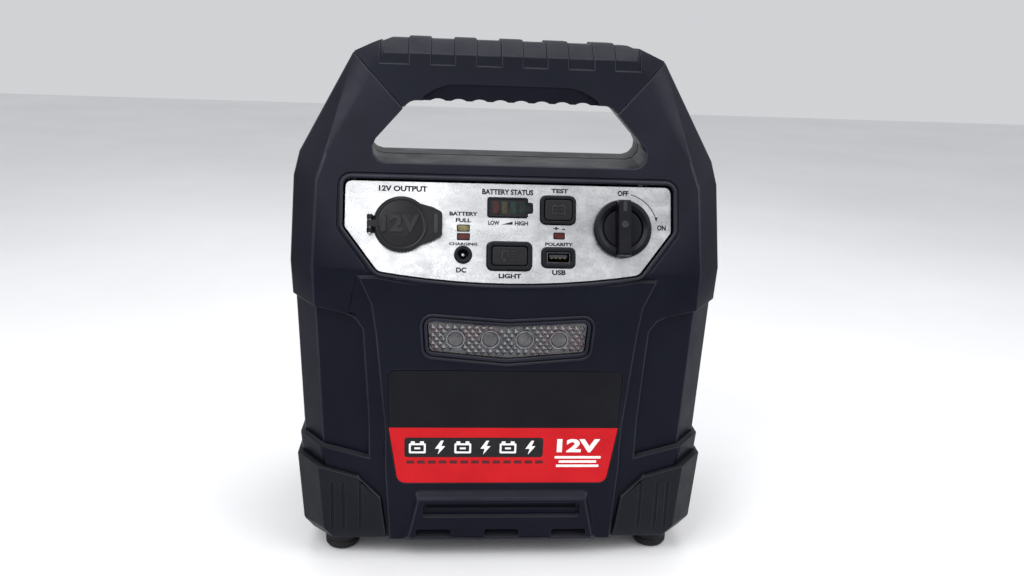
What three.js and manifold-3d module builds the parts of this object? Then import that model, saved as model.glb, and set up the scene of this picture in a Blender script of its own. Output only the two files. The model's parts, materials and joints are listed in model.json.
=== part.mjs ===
// Portable jump starter pack. Millimetres, +Z up, front towards -Y, origin on the floor under the middle.
import * as THREE from 'three';
import { ConvexGeometry } from 'three/addons/geometries/ConvexGeometry.js';
import { mergeVertices } from 'three/addons/utils/BufferGeometryUtils.js';
import Module from 'manifold-3d';

const wasm = await Module();
wasm.setup();

// ---------------------------------------------------------------- driving dimensions
const GAP = 0.3;                 // free play between neighbouring pieces
const WALL = 3.0;                // case wall
const ROUND = 28;                // sides of a round piece

const FRONT_Y = -72;             // plane of the front pillar and its label
const REAR_Y = 75;               // rear wall
const PARTING_Y = -8.5;          // plane where the two shells meet
const FLANK_Y = FRONT_Y + 2.5;   // front plane either side of the pillar
const RECESS_Y = FRONT_Y + 6.5;  // floor of the sunk flanks
const BODY_BOTTOM = 13;
const SILL_Z = 231.4;            // floor of the handle opening
const ARCH_REAR_Y = 16;          // rear face of the handle
const REAR_BREAK_Z = 192;        // where the rear wall starts to slope forward
const FACET = 13;                // width of the chamfer facet down each upright corner

const LEAN = THREE.MathUtils.degToRad(20);
const PANEL_Y = -59.18;          // point of the panel's face plane, on the centre line
const PANEL_Z = 200;
const SHELL_PROUD = 2.0;         // case surface stands this far out of the panel's face plane
const PLATE_T = 1.2;
const FLOOR_N = -(PLATE_T + GAP);        // floor of the panel's pocket
const INSIDE_N = FLOOR_N - WALL;         // back of the wall behind the panel

// height, half width, half width of the front face, depth of the corner facet
const SHOULDERS = [
  [148, 119.0, 106.5, FACET],
  [177.5, 120.4, 106.9, FACET],
  [222, 119.9, 106.0, FACET],
  [235, 117.0, 101.5, FACET],
  [289.4, 87.5, 71.0, 3],
];

// height and half width of the forms below the shoulders
const LOWER_BODY = [[BODY_BOTTOM, 108.5], [22, 113.4], [75, 117.4], [162, 119.2]];
const FLANK_CORE = [[40, 114.0], [200, 119.6]];
const GUARD_SKIN = [[BODY_BOTTOM, 111], [21, 116.2], [66, 119.2], [90, 120]];
const GUARD_CORE = [[0, 94.5], [BODY_BOTTOM, 103.5], [24, 111], [66, 116], [120, 117]];
const LOWER_ROOM = [[BODY_BOTTOM + WALL, 100], [27, 107.5], [66, 111.5], [166, 115]];

const SEAM = [[59.4, 260], [87.5, 289.4]];   // slanting end of the grip
const GRIP_TOP = 298.5;
const GRIP_BANDS = [-51, -25.5, 0.5, 26, 52.5];   // middles of the raised bands across the grip
const BAND_W = 12.3;
const BAND_PROUD = 1.1;
const BAND_FOOT = 283.7;
const CREST_X = 73;

const SOCKET = { x: -59.5, u: -0.9, boreR: 10.6, tubeR: 12.6, flangeR: 15, depth: 42 };
const CAP = { r: 15.3, bottom: 2.1, top: 5.4, tabX: 22.2 };
const HINGE = { x: -76.5, n: 3.6, pinR: 0.8, half: 5.7, earR: 1.6 };
const KNOB = {
  x: 62.5, u: -0.9, r: 16.3, innerR: 11.2, insideR: 9.6, barW: 8.3,
  bottom: 0.5, disc: 2.9, rim: 3.9, top: 9.3,
};
const SHAFT = { r: 3, top: 7, bushR: 5.6 };
const TEST = { x: 26.6, u: 8.95, w: 19.4, h: 15.7, inset: 1.9, travel: 1.2 };
const LIGHT = { x: -0.2, u: -17.1, w: 24.6, h: 15.6, inset: 2.4, travel: 1.5 };
const USB = { x: 27, u: -17.5, w: 18.3, h: 10.9, portW: 13.2, portH: 6.2, depth: 16 };
const JACK = { x: -25.7, u: -16.7, r: 5.0, bodyR: 4.0, boreR: 2.8, depth: 14 };
const STATUS = { x0: -12.3, x1: 9.6, nubX: 12.4, u0: 4.5, u1: 15.2 };
const INDICATORS = {
  maintain_led: { x: -25.7, u: -2.0, w: 6.1, h: 2.9 },
  charge_led: { x: -25.6, u: -6.7, w: 6.1, h: 2.9 },
  reverse_led: { x: 27.3, u: -5.3, w: 5.4, h: 2.8 },
};
const BOARD = { x0: -33, x1: 41, u0: -27, u1: 20, front: -16.7, t: 1.6 };

const BATTERY = { x: 181, y: 77, z: 162, y0: -12, z0: 17.5 };
const FOOT = { x: 94.5, front: -52.5, rear: 45.5, r: 10 };
const GLAND = { y: 30, z: 125, r: 8, boreR: 4.5, wallX: 117.2, proud: 3.1 };
const BOSS_R = 5.5;
const SCREWS = [[101, 92], [96, 210]];       // x and z of the case screws on one side
const LEAD_R = 2.5;

// ---------------------------------------------------------------- outlines
const parabola = (x, half, low, rise) => low + rise * (x / half) ** 2;

function plateOutline() {
  const bulge = [];
  for (let i = -4; i <= 4; i++) {
    const x = 15 * i;
    bulge.push([x, parabola(x, 72, -32.35, 5.75), 0]);
  }
  return [[-90.3, 23.2, 3.5], [-90.3, -2.4, 3], [-72, -26.6, 5], ...bulge,
    [72, -26.6, 5], [90.3, -2.4, 3], [90.3, 23.2, 3.5]];
}
const STATUS_OUTLINE = [
  [STATUS.x0, STATUS.u0, 1], [STATUS.x1, STATUS.u0, 1], [STATUS.x1, STATUS.u0 + 2.4, 0],
  [STATUS.nubX, STATUS.u0 + 2.8, 0.6], [STATUS.nubX, STATUS.u1 - 2.8, 0.6],
  [STATUS.x1, STATUS.u1 - 2.4, 0], [STATUS.x1, STATUS.u1, 1], [STATUS.x0, STATUS.u1, 1]];
const LENS_OUTLINE = [
  [-43.4, 130.4, 2.5], [0, 126.5, 0], [43.4, 130.4, 2.5],
  [44.6, 148.1, 2.5], [0, 145.2, 0], [-44.6, 148.1, 2.5]];
const LABEL_OUTLINE = [
  [-60.6, 49.8, 5], [60.6, 49.8, 5], [65.8, 84.4, 0],
  [66.4, 119, 4], [-66.4, 119, 4], [-65.8, 84.4, 0]];
const OPENING_OUTLINE = [[-86, SILL_Z, 7.5], [86, SILL_Z, 7.5], [54.9, 264.5, 8], [-54.9, 264.5, 8]];
const OPENING_Y = -47;           // depth at which the hand opening is as wide as its outline
const OPENING_FLARE = 0.08;      // sideways spread of the opening for each mm further back
const PILLAR_OUTLINE = [
  [-65.6, BODY_BOTTOM, 0], [65.6, BODY_BOTTOM, 0], [68.1, 58, 0], [68.1, 84, 0],
  [73.2, 141, 0], [75.5, 157, 0], [82, 172, 0], [-82, 172, 0],
  [-75.5, 157, 0], [-73.2, 141, 0], [-68.1, 84, 0], [-68.1, 58, 0]];
// sunk flank and corner guard of the right-hand side, running out past the case
const FLANK_OUTLINE = [
  [77.5, 64.2, 0], [104.9, 72, 0], [130, 78, 0], [130, 161.5, 0], [107.3, 155.4, 0], [96, 152.5, 0],
  [88.7, 150.3, 0], [84.4, 148.1, 0], [80.4, 142, 0], [77.5, 90, 0]];
const GUARD_OUTLINE = [
  [66.2, 8, 0], [130, 8, 0], [130, 66.5, 0], [105.3, 60.4, 0], [83, 53.4, 0], [70.2, 40.2, 0]];

// Rounds the corners of a polygon given as [x, y, radius].
function rounded(corners, steps = 4) {
  const out = [];
  corners.forEach(([x, y, r = 0], i) => {
    const p = new THREE.Vector2(x, y);
    if (r === 0) return out.push(p);
    const before = corners[(i + corners.length - 1) % corners.length];
    const after = corners[(i + 1) % corners.length];
    const a = new THREE.Vector2(before[0], before[1]).sub(p).normalize();
    const b = new THREE.Vector2(after[0], after[1]).sub(p).normalize();
    const half = Math.acos(THREE.MathUtils.clamp(a.dot(b), -1, 1)) / 2;
    const start = p.clone().addScaledVector(a, r / Math.tan(half));
    const centre = p.clone().addScaledVector(a.clone().add(b).normalize(), r / Math.sin(half));
    const sweep = (Math.PI - 2 * half) * Math.sign(a.cross(b)) * -1;
    for (let k = 0; k <= steps; k++) {
      out.push(start.clone().rotateAround(centre, (sweep * k) / steps));
    }
  });
  return out;
}

// Moves every edge of a counter-clockwise outline outwards by d.
function offset(points, d) {
  return points.map((p, i) => {
    const before = points[(i + points.length - 1) % points.length];
    const after = points[(i + 1) % points.length];
    const n1 = new THREE.Vector2(p.y - before.y, before.x - p.x).normalize();
    const n2 = new THREE.Vector2(after.y - p.y, p.x - after.x).normalize();
    const mid = n1.clone().add(n2).normalize();
    return p.clone().addScaledVector(mid, d / mid.dot(n1));
  });
}

const mirrorX = (corners) => corners.map(([x, y, r]) => [-x, y, r]).reverse();
const rectangle = (x, y, w, h, r = 0) => [
  [x - w / 2, y - h / 2, r], [x + w / 2, y - h / 2, r],
  [x + w / 2, y + h / 2, r], [x - w / 2, y + h / 2, r]];
const outline = (corners, grow = 0) => offset(rounded(corners), grow);

// ---------------------------------------------------------------- basic geometries
// An outline pushed out along +Z from z0 to z1.
function slab(points, z0, z1, holes = []) {
  const shape = new THREE.Shape(points);
  holes.forEach((hole) => shape.holes.push(new THREE.Path(hole)));
  const g = new THREE.ExtrudeGeometry(shape, { depth: z1 - z0, bevelEnabled: false });
  return g.translate(0, 0, z0);
}
// A front-view outline (x, z) pushed back from y0 to y1.
const frontSlab = (points, y0, y1, holes) =>
  slab(points, 0, y1 - y0, holes).rotateX(Math.PI / 2).translate(0, y1, 0);
// A block between two corners.
function block(x0, x1, y0, y1, z0, z1) {
  return new THREE.BoxGeometry(x1 - x0, y1 - y0, z1 - z0)
    .translate((x0 + x1) / 2, (y0 + y1) / 2, (z0 + z1) / 2);
}
// A turned piece about Z at (x, y): points are [radius, z], from the axis back to the axis or closed.
function turned(points, x = 0, y = 0, sides = ROUND) {
  const profile = points.map(([r, z]) => new THREE.Vector2(r, z));
  return new THREE.LatheGeometry(profile, sides).rotateX(Math.PI / 2).translate(x, y, 0);
}
const rod = (r, z0, z1, x = 0, y = 0, sides = ROUND) =>
  turned([[0, z0], [r, z0], [r, z1], [0, z1]], x, y, sides);
const tube = (rIn, rOut, z0, z1, x = 0, y = 0) =>
  turned([[rIn, z0], [rOut, z0], [rOut, z1], [rIn, z1], [rIn, z0]], x, y);
const hull = (points) => new ConvexGeometry(points.map((p) => new THREE.Vector3(...p)));

// A round lead along a smooth curve through the given points.
function lead(points, r) {
  const path = new THREE.CatmullRomCurve3(points.map((p) => new THREE.Vector3(...p)));
  const section = new THREE.Shape(new THREE.EllipseCurve(0, 0, r, r).getPoints(10).slice(0, 10));
  const steps = Math.ceil(path.getLength() / (5 * r));
  return new THREE.ExtrudeGeometry(section, { steps, extrudePath: path, bevelEnabled: false });
}

// ---------------------------------------------------------------- joining and cutting
function solid(geometry) {
  const bare = geometry.clone();
  bare.deleteAttribute('normal');
  bare.deleteAttribute('uv');
  const merged = mergeVertices(bare, 1e-4);
  return new wasm.Manifold(new wasm.Mesh({
    numProp: 3,
    vertProperties: new Float32Array(merged.attributes.position.array),
    triVerts: new Uint32Array(merged.index.array),
  }));
}
function toGeometry(body) {
  const mesh = body.getMesh();
  const g = new THREE.BufferGeometry();
  g.setAttribute('position', new THREE.BufferAttribute(mesh.vertProperties, 3));
  g.setIndex(new THREE.BufferAttribute(mesh.triVerts, 1));
  return g;
}
const join = (...geometries) => geometries.map(solid).reduce((a, b) => a.add(b));
const cut = (body, ...geometries) => geometries.map(solid).reduce((a, b) => a.subtract(b), body);

// ---------------------------------------------------------------- materials and placing
const finish = (color, roughness, metalness = 0) =>
  new THREE.MeshStandardMaterial({ color, roughness, metalness });
const PLASTIC = finish(0x1c1d28, 0.5);
const SOFT = finish(0x16171f, 0.62);
const RUBBER = finish(0x0c0c0f, 0.8);
const GLOSS_BLACK = finish(0x101014, 0.35);
const SILVER = finish(0xb4b8be, 0.4, 0.7);
const STEEL = finish(0xa8a8a8, 0.35, 1);
const BRASS = finish(0xb08d4a, 0.35, 1);
const CLEAR = finish(0xdfe3e6, 0.1);
const LABEL_RED = finish(0xdc2326, 0.35);
const BOARD_GREEN = finish(0x1d5a34, 0.5);
const LED_WHITE = finish(0xf3edc8, 0.3);
const LED_RED = finish(0x8f1a12, 0.3);
const LED_AMBER = finish(0x8a7b1c, 0.3);
const LED_GREEN = finish(0x176a35, 0.3);
const CASE_GREY = finish(0x34363a, 0.6);
const RED_LEAD = finish(0xa51616, 0.5);
const BLACK_LEAD = finish(0x111111, 0.5);

const pack = new THREE.Group();
const panel = new THREE.Group();       // leaning frame: x across, y up the panel, z out of its face
panel.rotation.x = Math.PI / 2 - LEAN;
panel.position.set(0, PANEL_Y, PANEL_Z);
panel.updateMatrix();
pack.add(panel);
const onPanel = (geometry) => geometry.applyMatrix4(panel.matrix);

function place(parent, name, shape, material) {
  const geometry = shape.isBufferGeometry ? shape : toGeometry(shape);
  const mesh = new THREE.Mesh(geometry, material);
  mesh.name = name;
  parent.add(mesh);
}

// ---------------------------------------------------------------- outer and inner forms of the case
const leanY = (z, inset = 0) =>
  PANEL_Y + (z - PANEL_Z) * Math.tan(LEAN) + (inset - SHELL_PROUD) / Math.cos(LEAN);
const frontY = (z, inset = 0) => Math.max(FLANK_Y + inset, leanY(z, inset));

function shoulderAt(z) {
  const i = Math.max(1, SHOULDERS.findIndex((s) => s[0] >= z));
  const [a, b] = [SHOULDERS[i - 1], SHOULDERS[i]];
  const t = (z - a[0]) / (b[0] - a[0]);
  return a.map((value, k) => THREE.MathUtils.lerp(value, b[k], t));
}

// One level of the case: front face, corner facets, sides and rear, inset all round by the wall.
function level([z, halfWidth, halfFront, facet], rearY, rearFacet, inset) {
  const y = frontY(z, inset);
  const wide = halfWidth - inset;
  const ring = [[halfFront - inset / 2, y], [wide, y + facet], [wide, rearY - inset - rearFacet],
    [wide - rearFacet, rearY - inset]];
  return ring.flatMap(([x, yy]) => [[x, yy, z], [-x, yy, z]]);
}

// The wide upper part of the case, under the handle.
function upperTank(inset, z0, z1) {
  const full = shoulderAt(177.5);
  return hull([
    ...level(shoulderAt(z0), REAR_Y, 9, inset),
    ...level(full, REAR_Y, 9, inset),
    ...level(shoulderAt(REAR_BREAK_Z - inset / 2), REAR_Y, 9, inset),
    ...level(shoulderAt(222), leanRear(222), 9, inset),
    ...level(shoulderAt(z1), leanRear(z1), 9, inset),
  ]);
}
function leanRear(z) {
  return THREE.MathUtils.mapLinear(z, REAR_BREAK_Z, SILL_Z, REAR_Y, ARCH_REAR_Y);
}

// An upright block with four corner facets. Each station is a height, a half width and the step in
// of its front and rear.
function tank(stations, yFront, yRear, facet, grow = 0) {
  return hull(stations.flatMap(([z, halfWidth, stepIn = 0]) => {
    const w = halfWidth + grow;
    const [y0, y1] = [yFront - grow + stepIn, yRear + grow - stepIn];
    return [[w - facet, y0], [w, y0 + facet], [w, y1 - facet], [w - facet, y1]]
      .flatMap(([x, y]) => [[x, y, z], [-x, y, z]]);
  }));
}

// The handle's two legs and top, before the grip and the opening are taken out.
function arch(inset, z0, z1) {
  const rings = [z0, 235, z1].map((z) => level(shoulderAt(z), ARCH_REAR_Y, 8, inset));
  return hull(rings.flat());
}

function gripRegion(clearance) {
  const [[x0, z0], [x1, z1]] = SEAM;
  const slope = (x1 - x0) / (z1 - z0);
  const at = (z) => x0 + (z - z0) * slope + clearance;
  return frontSlab([[-at(250), 250], [at(250), 250], [at(310), 310], [-at(310), 310]]
    .map(([x, z]) => new THREE.Vector2(x, z)), -60, 40);
}
const gripCore = (clearance) =>
  block(-80, 80, -26 - clearance, 6 + clearance, 270.5 - clearance, 287 + clearance);
// The opening under the grip, its side walls flaring towards the rear.
function opening(grow) {
  const points = outline(OPENING_OUTLINE, grow);
  const flare = (x, y) => x + Math.sign(x) * OPENING_FLARE * (y - OPENING_Y);
  return hull([-90, 90].flatMap((y) => points.map((p) => [flare(p.x, y), y, p.y])));
}

const sides = (corners) => [corners, mirrorX(corners)];
function sunkFlanks(grow) {
  const core = solid(tank(FLANK_CORE, RECESS_Y, REAR_Y - 4, FACET - 1, -grow));
  return sides(FLANK_OUTLINE)
    .map((corners) => cut(solid(frontSlab(outline(corners, grow), -90, 90)), toGeometry(core)))
    .reduce((a, b) => a.add(b));
}
const guardCore = (grow) => tank(GUARD_CORE, FRONT_Y + 5.5, REAR_Y - 5, FACET, grow);
function guardRegion(corners, yFront, yRear, grow) {
  return solid(frontSlab(outline(corners, grow), yFront, yRear));
}
const GUARD_SPANS = { front: [-90, -16], rear: [14, 90] };
// upright grooves in a guard's outward face: x on the right-hand side, width, depth and top
const GUARD_GROOVES = { xs: [82, 91.8, 98], w: 1.6, depth: 0.8, top: 50 };

// ---------------------------------------------------------------- case shells
function caseOutside() {
  let body = join(
    upperTank(0, 148, SILL_Z),
    tank(LOWER_BODY, FLANK_Y, REAR_Y - 1, FACET),
    frontSlab(outline(PILLAR_OUTLINE), FRONT_Y, FRONT_Y + 12),
    bumperPlate(),
  );
  body = body.subtract(sunkFlanks(0));
  for (const [yFront, yRear] of Object.values(GUARD_SPANS)) {
    for (const corners of sides(GUARD_OUTLINE)) {
      body = body.subtract(cut(guardRegion(corners, yFront, yRear, 0), guardCore(0)));
    }
  }
  const handle = cut(solid(arch(0, 222, 289.4)), gripRegion(0));
  return cut(body.add(handle).add(solid(gripCore(0))), opening(0));
}

// Foot of the front pillar: a shelf over a long slot, and three short slots under it.
function bumperPlate() {
  const z0 = BODY_BOTTOM;
  const plate = hull([-1, 1].flatMap((s) => [
    [s * 54.5, FRONT_Y - 1.5, z0], [s * 54.5, FRONT_Y - 3, z0 + 3],
    [s * 48.9, FRONT_Y - 3, 26.5], [s * 48.9, FRONT_Y - 3, 40.7],
    [s * 46.5, FRONT_Y, 45], [s * 58, FRONT_Y + 1, z0], [s * 51, FRONT_Y + 1, 45]]));
  return toGeometry(cut(solid(plate),
    frontSlab(outline(rectangle(0, 33.6, 92, 9, 2)), FRONT_Y - 9, FRONT_Y + 0.5)));
}

function caseInside() {
  const pillarRoom = block(-61, 61, FRONT_Y + WALL, RECESS_Y + WALL + 1, 48, 124);
  const legs = cut(solid(arch(4, 236, 282)), opening(4));
  const room = join(
    upperTank(WALL, 163, SILL_Z - WALL),
    tank(LOWER_ROOM, RECESS_Y + WALL, REAR_Y - 5 - WALL, FACET - 2),
    pillarRoom,
    block(-78, 78, -22.5, 2.5, 274, 283.5),
  ).add(legs.subtract(solid(gripRegion(4))));
  return SCREWS.reduce((inside, [x, z]) => inside
    .subtract(boss(x, z)).subtract(boss(-x, z)), room);
}
const boss = (x, z) => solid(rod(BOSS_R, -80, 80, x, -z).rotateX(Math.PI / 2));

// Everything that passes through the wall behind the panel, grown by a clearance.
function panelHoles(clearance) {
  return [
    outline(STATUS_OUTLINE, clearance),
    outline(rectangle(TEST.x, TEST.u, TEST.w, TEST.h, 3), clearance),
    outline(rectangle(LIGHT.x, LIGHT.u, LIGHT.w, LIGHT.h, 3), clearance),
    outline(rectangle(USB.x, USB.u, USB.w, USB.h, 2.5), clearance),
    circle(JACK.x, JACK.u, JACK.bodyR + clearance),
    circle(SOCKET.x, SOCKET.u, SOCKET.tubeR + clearance),
    ...Object.values(INDICATORS).map((w) => outline(rectangle(w.x, w.u, w.w, w.h), clearance)),
  ];
}
function circle(x, y, r, sides = ROUND) {
  const turn = (i) => (2 * Math.PI * i) / sides;
  return Array.from({ length: sides }, (_, i) =>
    new THREE.Vector2(x + r * Math.cos(turn(i)), y + r * Math.sin(turn(i))));
}

function shells() {
  const panelCuts = [
    slab(outline(plateOutline(), 1), FLOOR_N, 12),
    ...[...panelHoles(GAP), circle(KNOB.x, KNOB.u, 6)].map((hole) => slab(hole, INSIDE_N - 6, 1)),
  ].map(onPanel);
  const lampCuts = [
    frontSlab(outline(LENS_OUTLINE, GAP), FRONT_Y - 5, FRONT_Y + 4),
    frontSlab(outline(LENS_OUTLINE, -1.5), FRONT_Y, FRONT_Y + 25),
    frontSlab(outline(LABEL_OUTLINE, GAP), FRONT_Y - 5, FRONT_Y + 0.7),
  ];
  const slots = [-39.8, 0.3, 39.9].map((x) =>
    frontSlab(outline(rectangle(x, 18.5, 20.5, 5, 1.5)), FRONT_Y - 9, FRONT_Y + 1));
  const glandHoles = [-1, 1].map((s) => glandBlank(s, GLAND.r + GAP));
  const hollow = caseOutside().subtract(caseInside());
  const whole = cut(hollow, ...panelCuts, ...lampCuts, ...slots, ...glandHoles);

  const far = 400;
  const frontHalf = solid(block(-far, far, -far, PARTING_Y - GAP / 2, -far, far));
  const rearHalf = solid(block(-far, far, PARTING_Y + GAP / 2, far, -far, far));
  const holes = (r, y0, y1) => SCREWS.flatMap(([x, z]) =>
    [1, -1].map((s) => alongY(r, y0, y1, s * x, z)));
  const front = cut(whole.intersect(frontHalf), ...holes(2 + GAP, -26, 0));
  const rear = cut(whole.intersect(rearHalf), ...holes(2 + GAP, -20, 90), ...holes(4.6, 22, 90));
  return { front, rear };
}
// A rod along Y, from y0 to y1.
const alongY = (r, y0, y1, x, z, sides = 16) =>
  rod(r, y0, y1, 0, 0, sides).rotateX(-Math.PI / 2).translate(x, 0, z);
// The round seat of a lead gland in the left (-1) or right (1) side wall.
const glandBlank = (s, r) =>
  rod(r, 100, 125).rotateY(s * Math.PI / 2).translate(0, GLAND.y, GLAND.z);

function handleGrip() {
  const outside = solid(gripForm(0)).intersect(solid(gripRegion(-GAP)));
  const low = gripForm(BAND_PROUD);
  const grooves = gripGrooves().map((groove) => toGeometry(cut(solid(groove), low)));
  return cut(outside, gripCore(GAP), opening(0), ...grooves);
}
// The grip's outside, with its faces and its crest drawn in by the inset.
function gripForm(inset) {
  const base = [248, 289.4].flatMap((z) => level(shoulderAt(z), ARCH_REAR_Y, 8, inset));
  const crest = [
    [CREST_X, -21, GRIP_TOP - 2.5], [CREST_X - 6, -17, GRIP_TOP],
    [CREST_X - 6, 2, GRIP_TOP], [CREST_X, 7, GRIP_TOP - 3.5],
    [CREST_X + 5, -19, GRIP_TOP - 4.5], [CREST_X + 5, 5, GRIP_TOP - 5]];
  return hull([...base, ...crest.flatMap(([x, y, z]) => [[x, y, z - inset], [-x, y, z - inset]])]);
}
// The spaces between the bands and the pads at both ends.
function gripGrooves() {
  const lefts = [-CREST_X, ...GRIP_BANDS.map((x) => x + BAND_W / 2)];
  const rights = [...GRIP_BANDS.map((x) => x - BAND_W / 2), CREST_X];
  return lefts.map((left, i) => block(left, rights[i], -60, 40, BAND_FOOT, GRIP_TOP + 5));
}

function cornerGuard(corners, yFront, yRear) {
  const [[z, halfWidth], ...rest] = GUARD_SKIN;
  const skin = solid(tank([[z, halfWidth, 3], ...rest], FRONT_Y - 0.5, REAR_Y, FACET));
  const { xs, w, depth, top } = GUARD_GROOVES;
  const grooves = xs.flatMap((x) => [-x, x]).flatMap((x) => [
    block(x - w / 2, x + w / 2, -90, FRONT_Y - 0.5 + depth, 0, top),
    block(x - w / 2, x + w / 2, REAR_Y - depth, 90, 0, top)]);
  return cut(guardRegion(corners, yFront, yRear, -GAP).intersect(skin), guardCore(GAP), ...grooves);
}

// ---------------------------------------------------------------- control panel and what sits in it
function controlPanel() {
  return slab(outline(plateOutline()), -PLATE_T, 0, [...panelHoles(GAP), circle(KNOB.x, KNOB.u, 9)]);
}

function socketBarrel() {
  const { x, u, boreR, tubeR, flangeR, depth } = SOCKET;
  const tubePart = turned([
    [2.4, -depth], [tubeR, -depth], [tubeR, GAP], [flangeR, GAP], [flangeR, 1.8],
    [boreR, 1.8], [boreR, 2 - depth], [2.4, 2 - depth], [2.4, -depth]], x, u);
  const foot = block(HINGE.x - 1.7, x - 12.4, u - HINGE.half + 0.8, u + HINGE.half - 0.8, GAP, 1.4);
  const ears = [[-4.9, -2.3], [2.3, 4.9]].flatMap(([a, b]) => [
    block(HINGE.x - HINGE.earR, HINGE.x + HINGE.earR, u + a, u + b, GAP, HINGE.n),
    hingeRod(HINGE.earR, a, b)]);
  return cut(join(tubePart, foot, ...ears), hingeRod(HINGE.pinR + 0.1, -7, 7), rod(boreR, 1, 3, x, u));
}
// A rod along the cap's hinge line, between two distances up the panel from the socket's centre.
const hingeRod = (r, a, b) =>
  rod(r, -b, -a, 0, 0, 16).rotateX(Math.PI / 2).translate(HINGE.x, SOCKET.u, HINGE.n);

function socketCap() {
  const { x, u } = SOCKET;
  const { r, bottom, top, tabX } = CAP;
  const disc = turned([[0, bottom], [r, bottom], [r, top - 1.6], [r - 2, top - 0.4], [0, top]], x, u);
  const tab = slab(rounded([
    [x + 8, u - 12, 0], [x + tabX - 6, u - 8.8, 2], [x + tabX, u - 6, 2.5],
    [x + tabX, u + 7, 2.5], [x + tabX - 5, u + 9.2, 2], [x + 8, u + 12, 0]]), bottom, bottom + 1.8);
  const knuckle = hingeRod(1.5, -1.9, 1.9);
  const web = block(HINGE.x, x - 12, u - 1.9, u + 1.9, bottom + GAP, HINGE.n + 1.4);
  return cut(join(disc, tab, knuckle, web), hingeRod(HINGE.pinR + 0.25, -4, 4));
}

function powerKnob() {
  const { x, u, r, innerR, barW, bottom, disc, rim, top, insideR } = KNOB;
  const base = turned([
    [0, bottom], [r, bottom], [r, rim - 1], [r - 1.2, rim], [innerR, rim], [innerR, disc], [0, disc]], x, u);
  const bar = slab(outline(rectangle(x, u, barW, 2 * r - 0.8, 2)), disc - 0.5, top);
  const hollow = rod(insideR, bottom - 1, disc - 1, x, u);
  return cut(join(base, bar), hollow, rod(SHAFT.r + GAP, bottom, SHAFT.top + GAP, x, u));
}

function switchBody() {
  const { x, u } = KNOB;
  const { r, bushR } = SHAFT;
  const body = turned([[0, -38], [18, -38], [18, -6], [bushR, -6], [bushR, 1.4], [0, 1.4]], x, u);
  return cut(solid(body), rod(r + GAP, -16, 4, x, u));
}

function switchNut() {
  const hex = slab(circle(KNOB.x, KNOB.u, 8.2, 6), FLOOR_N + GAP, 1.2);
  return cut(solid(hex), rod(SHAFT.bushR + GAP, -4, 4, KNOB.x, KNOB.u));
}

function bezel({ x, u, w, h, inset }, radius, top) {
  const mouth = outline(rectangle(x, u, w - 2 * inset, h - 2 * inset, radius - 1));
  return slab(outline(rectangle(x, u, w, h, radius)), -PLATE_T, top, [mouth]);
}
function button({ x, u, w, h, inset }, radius) {
  const margin = 2 * (inset + GAP);
  return slab(outline(rectangle(x, u, w - margin, h - margin, radius)), -2.4, 2.4);
}
function pushSwitch({ x, u, travel }) {
  const base = block(x - 3, x + 3, u - 3, u + 3, BOARD.front + GAP, -8);
  return join(base, rod(1.7, -9, -2.4 - GAP - travel, x, u, 16));
}

function usbPort() {
  const { x, u, portW, portH, depth } = USB;
  const sheet = 0.6;
  const box = slab(outline(rectangle(x, u, portW, portH, sheet)), -depth, 0.4);
  const mouth = rounded(rectangle(x, u, portW - 2 * sheet, portH - 2 * sheet));
  return cut(solid(box), slab(mouth, 2 - depth, 1));
}

function usbBezel() {
  const { x, u, w, h, portW, portH } = USB;
  const mouth = outline(rectangle(x, u, portW, portH), GAP);
  return slab(outline(rectangle(x, u, w, h, 2.5)), -PLATE_T, 1.4, [mouth]);
}

function dcJack() {
  const { x, u, r, bodyR, boreR, depth } = JACK;
  const pinR = 1;
  return turned([
    [0, -depth], [bodyR, -depth], [bodyR, GAP], [r, GAP], [r, 1.5], [boreR, 1.5],
    [boreR, 3 - depth], [pinR, 3 - depth], [pinR, -1], [0, -1]], x, u);
}

function statusBar(i) {
  const pitch = 4.9;
  const x = STATUS.x0 + 4.2 + pitch * i;
  return block(x - 1.3, x + 1.3, STATUS.u0 + 2.2, STATUS.u1 - 2.2, -4, -PLATE_T);
}

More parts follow.
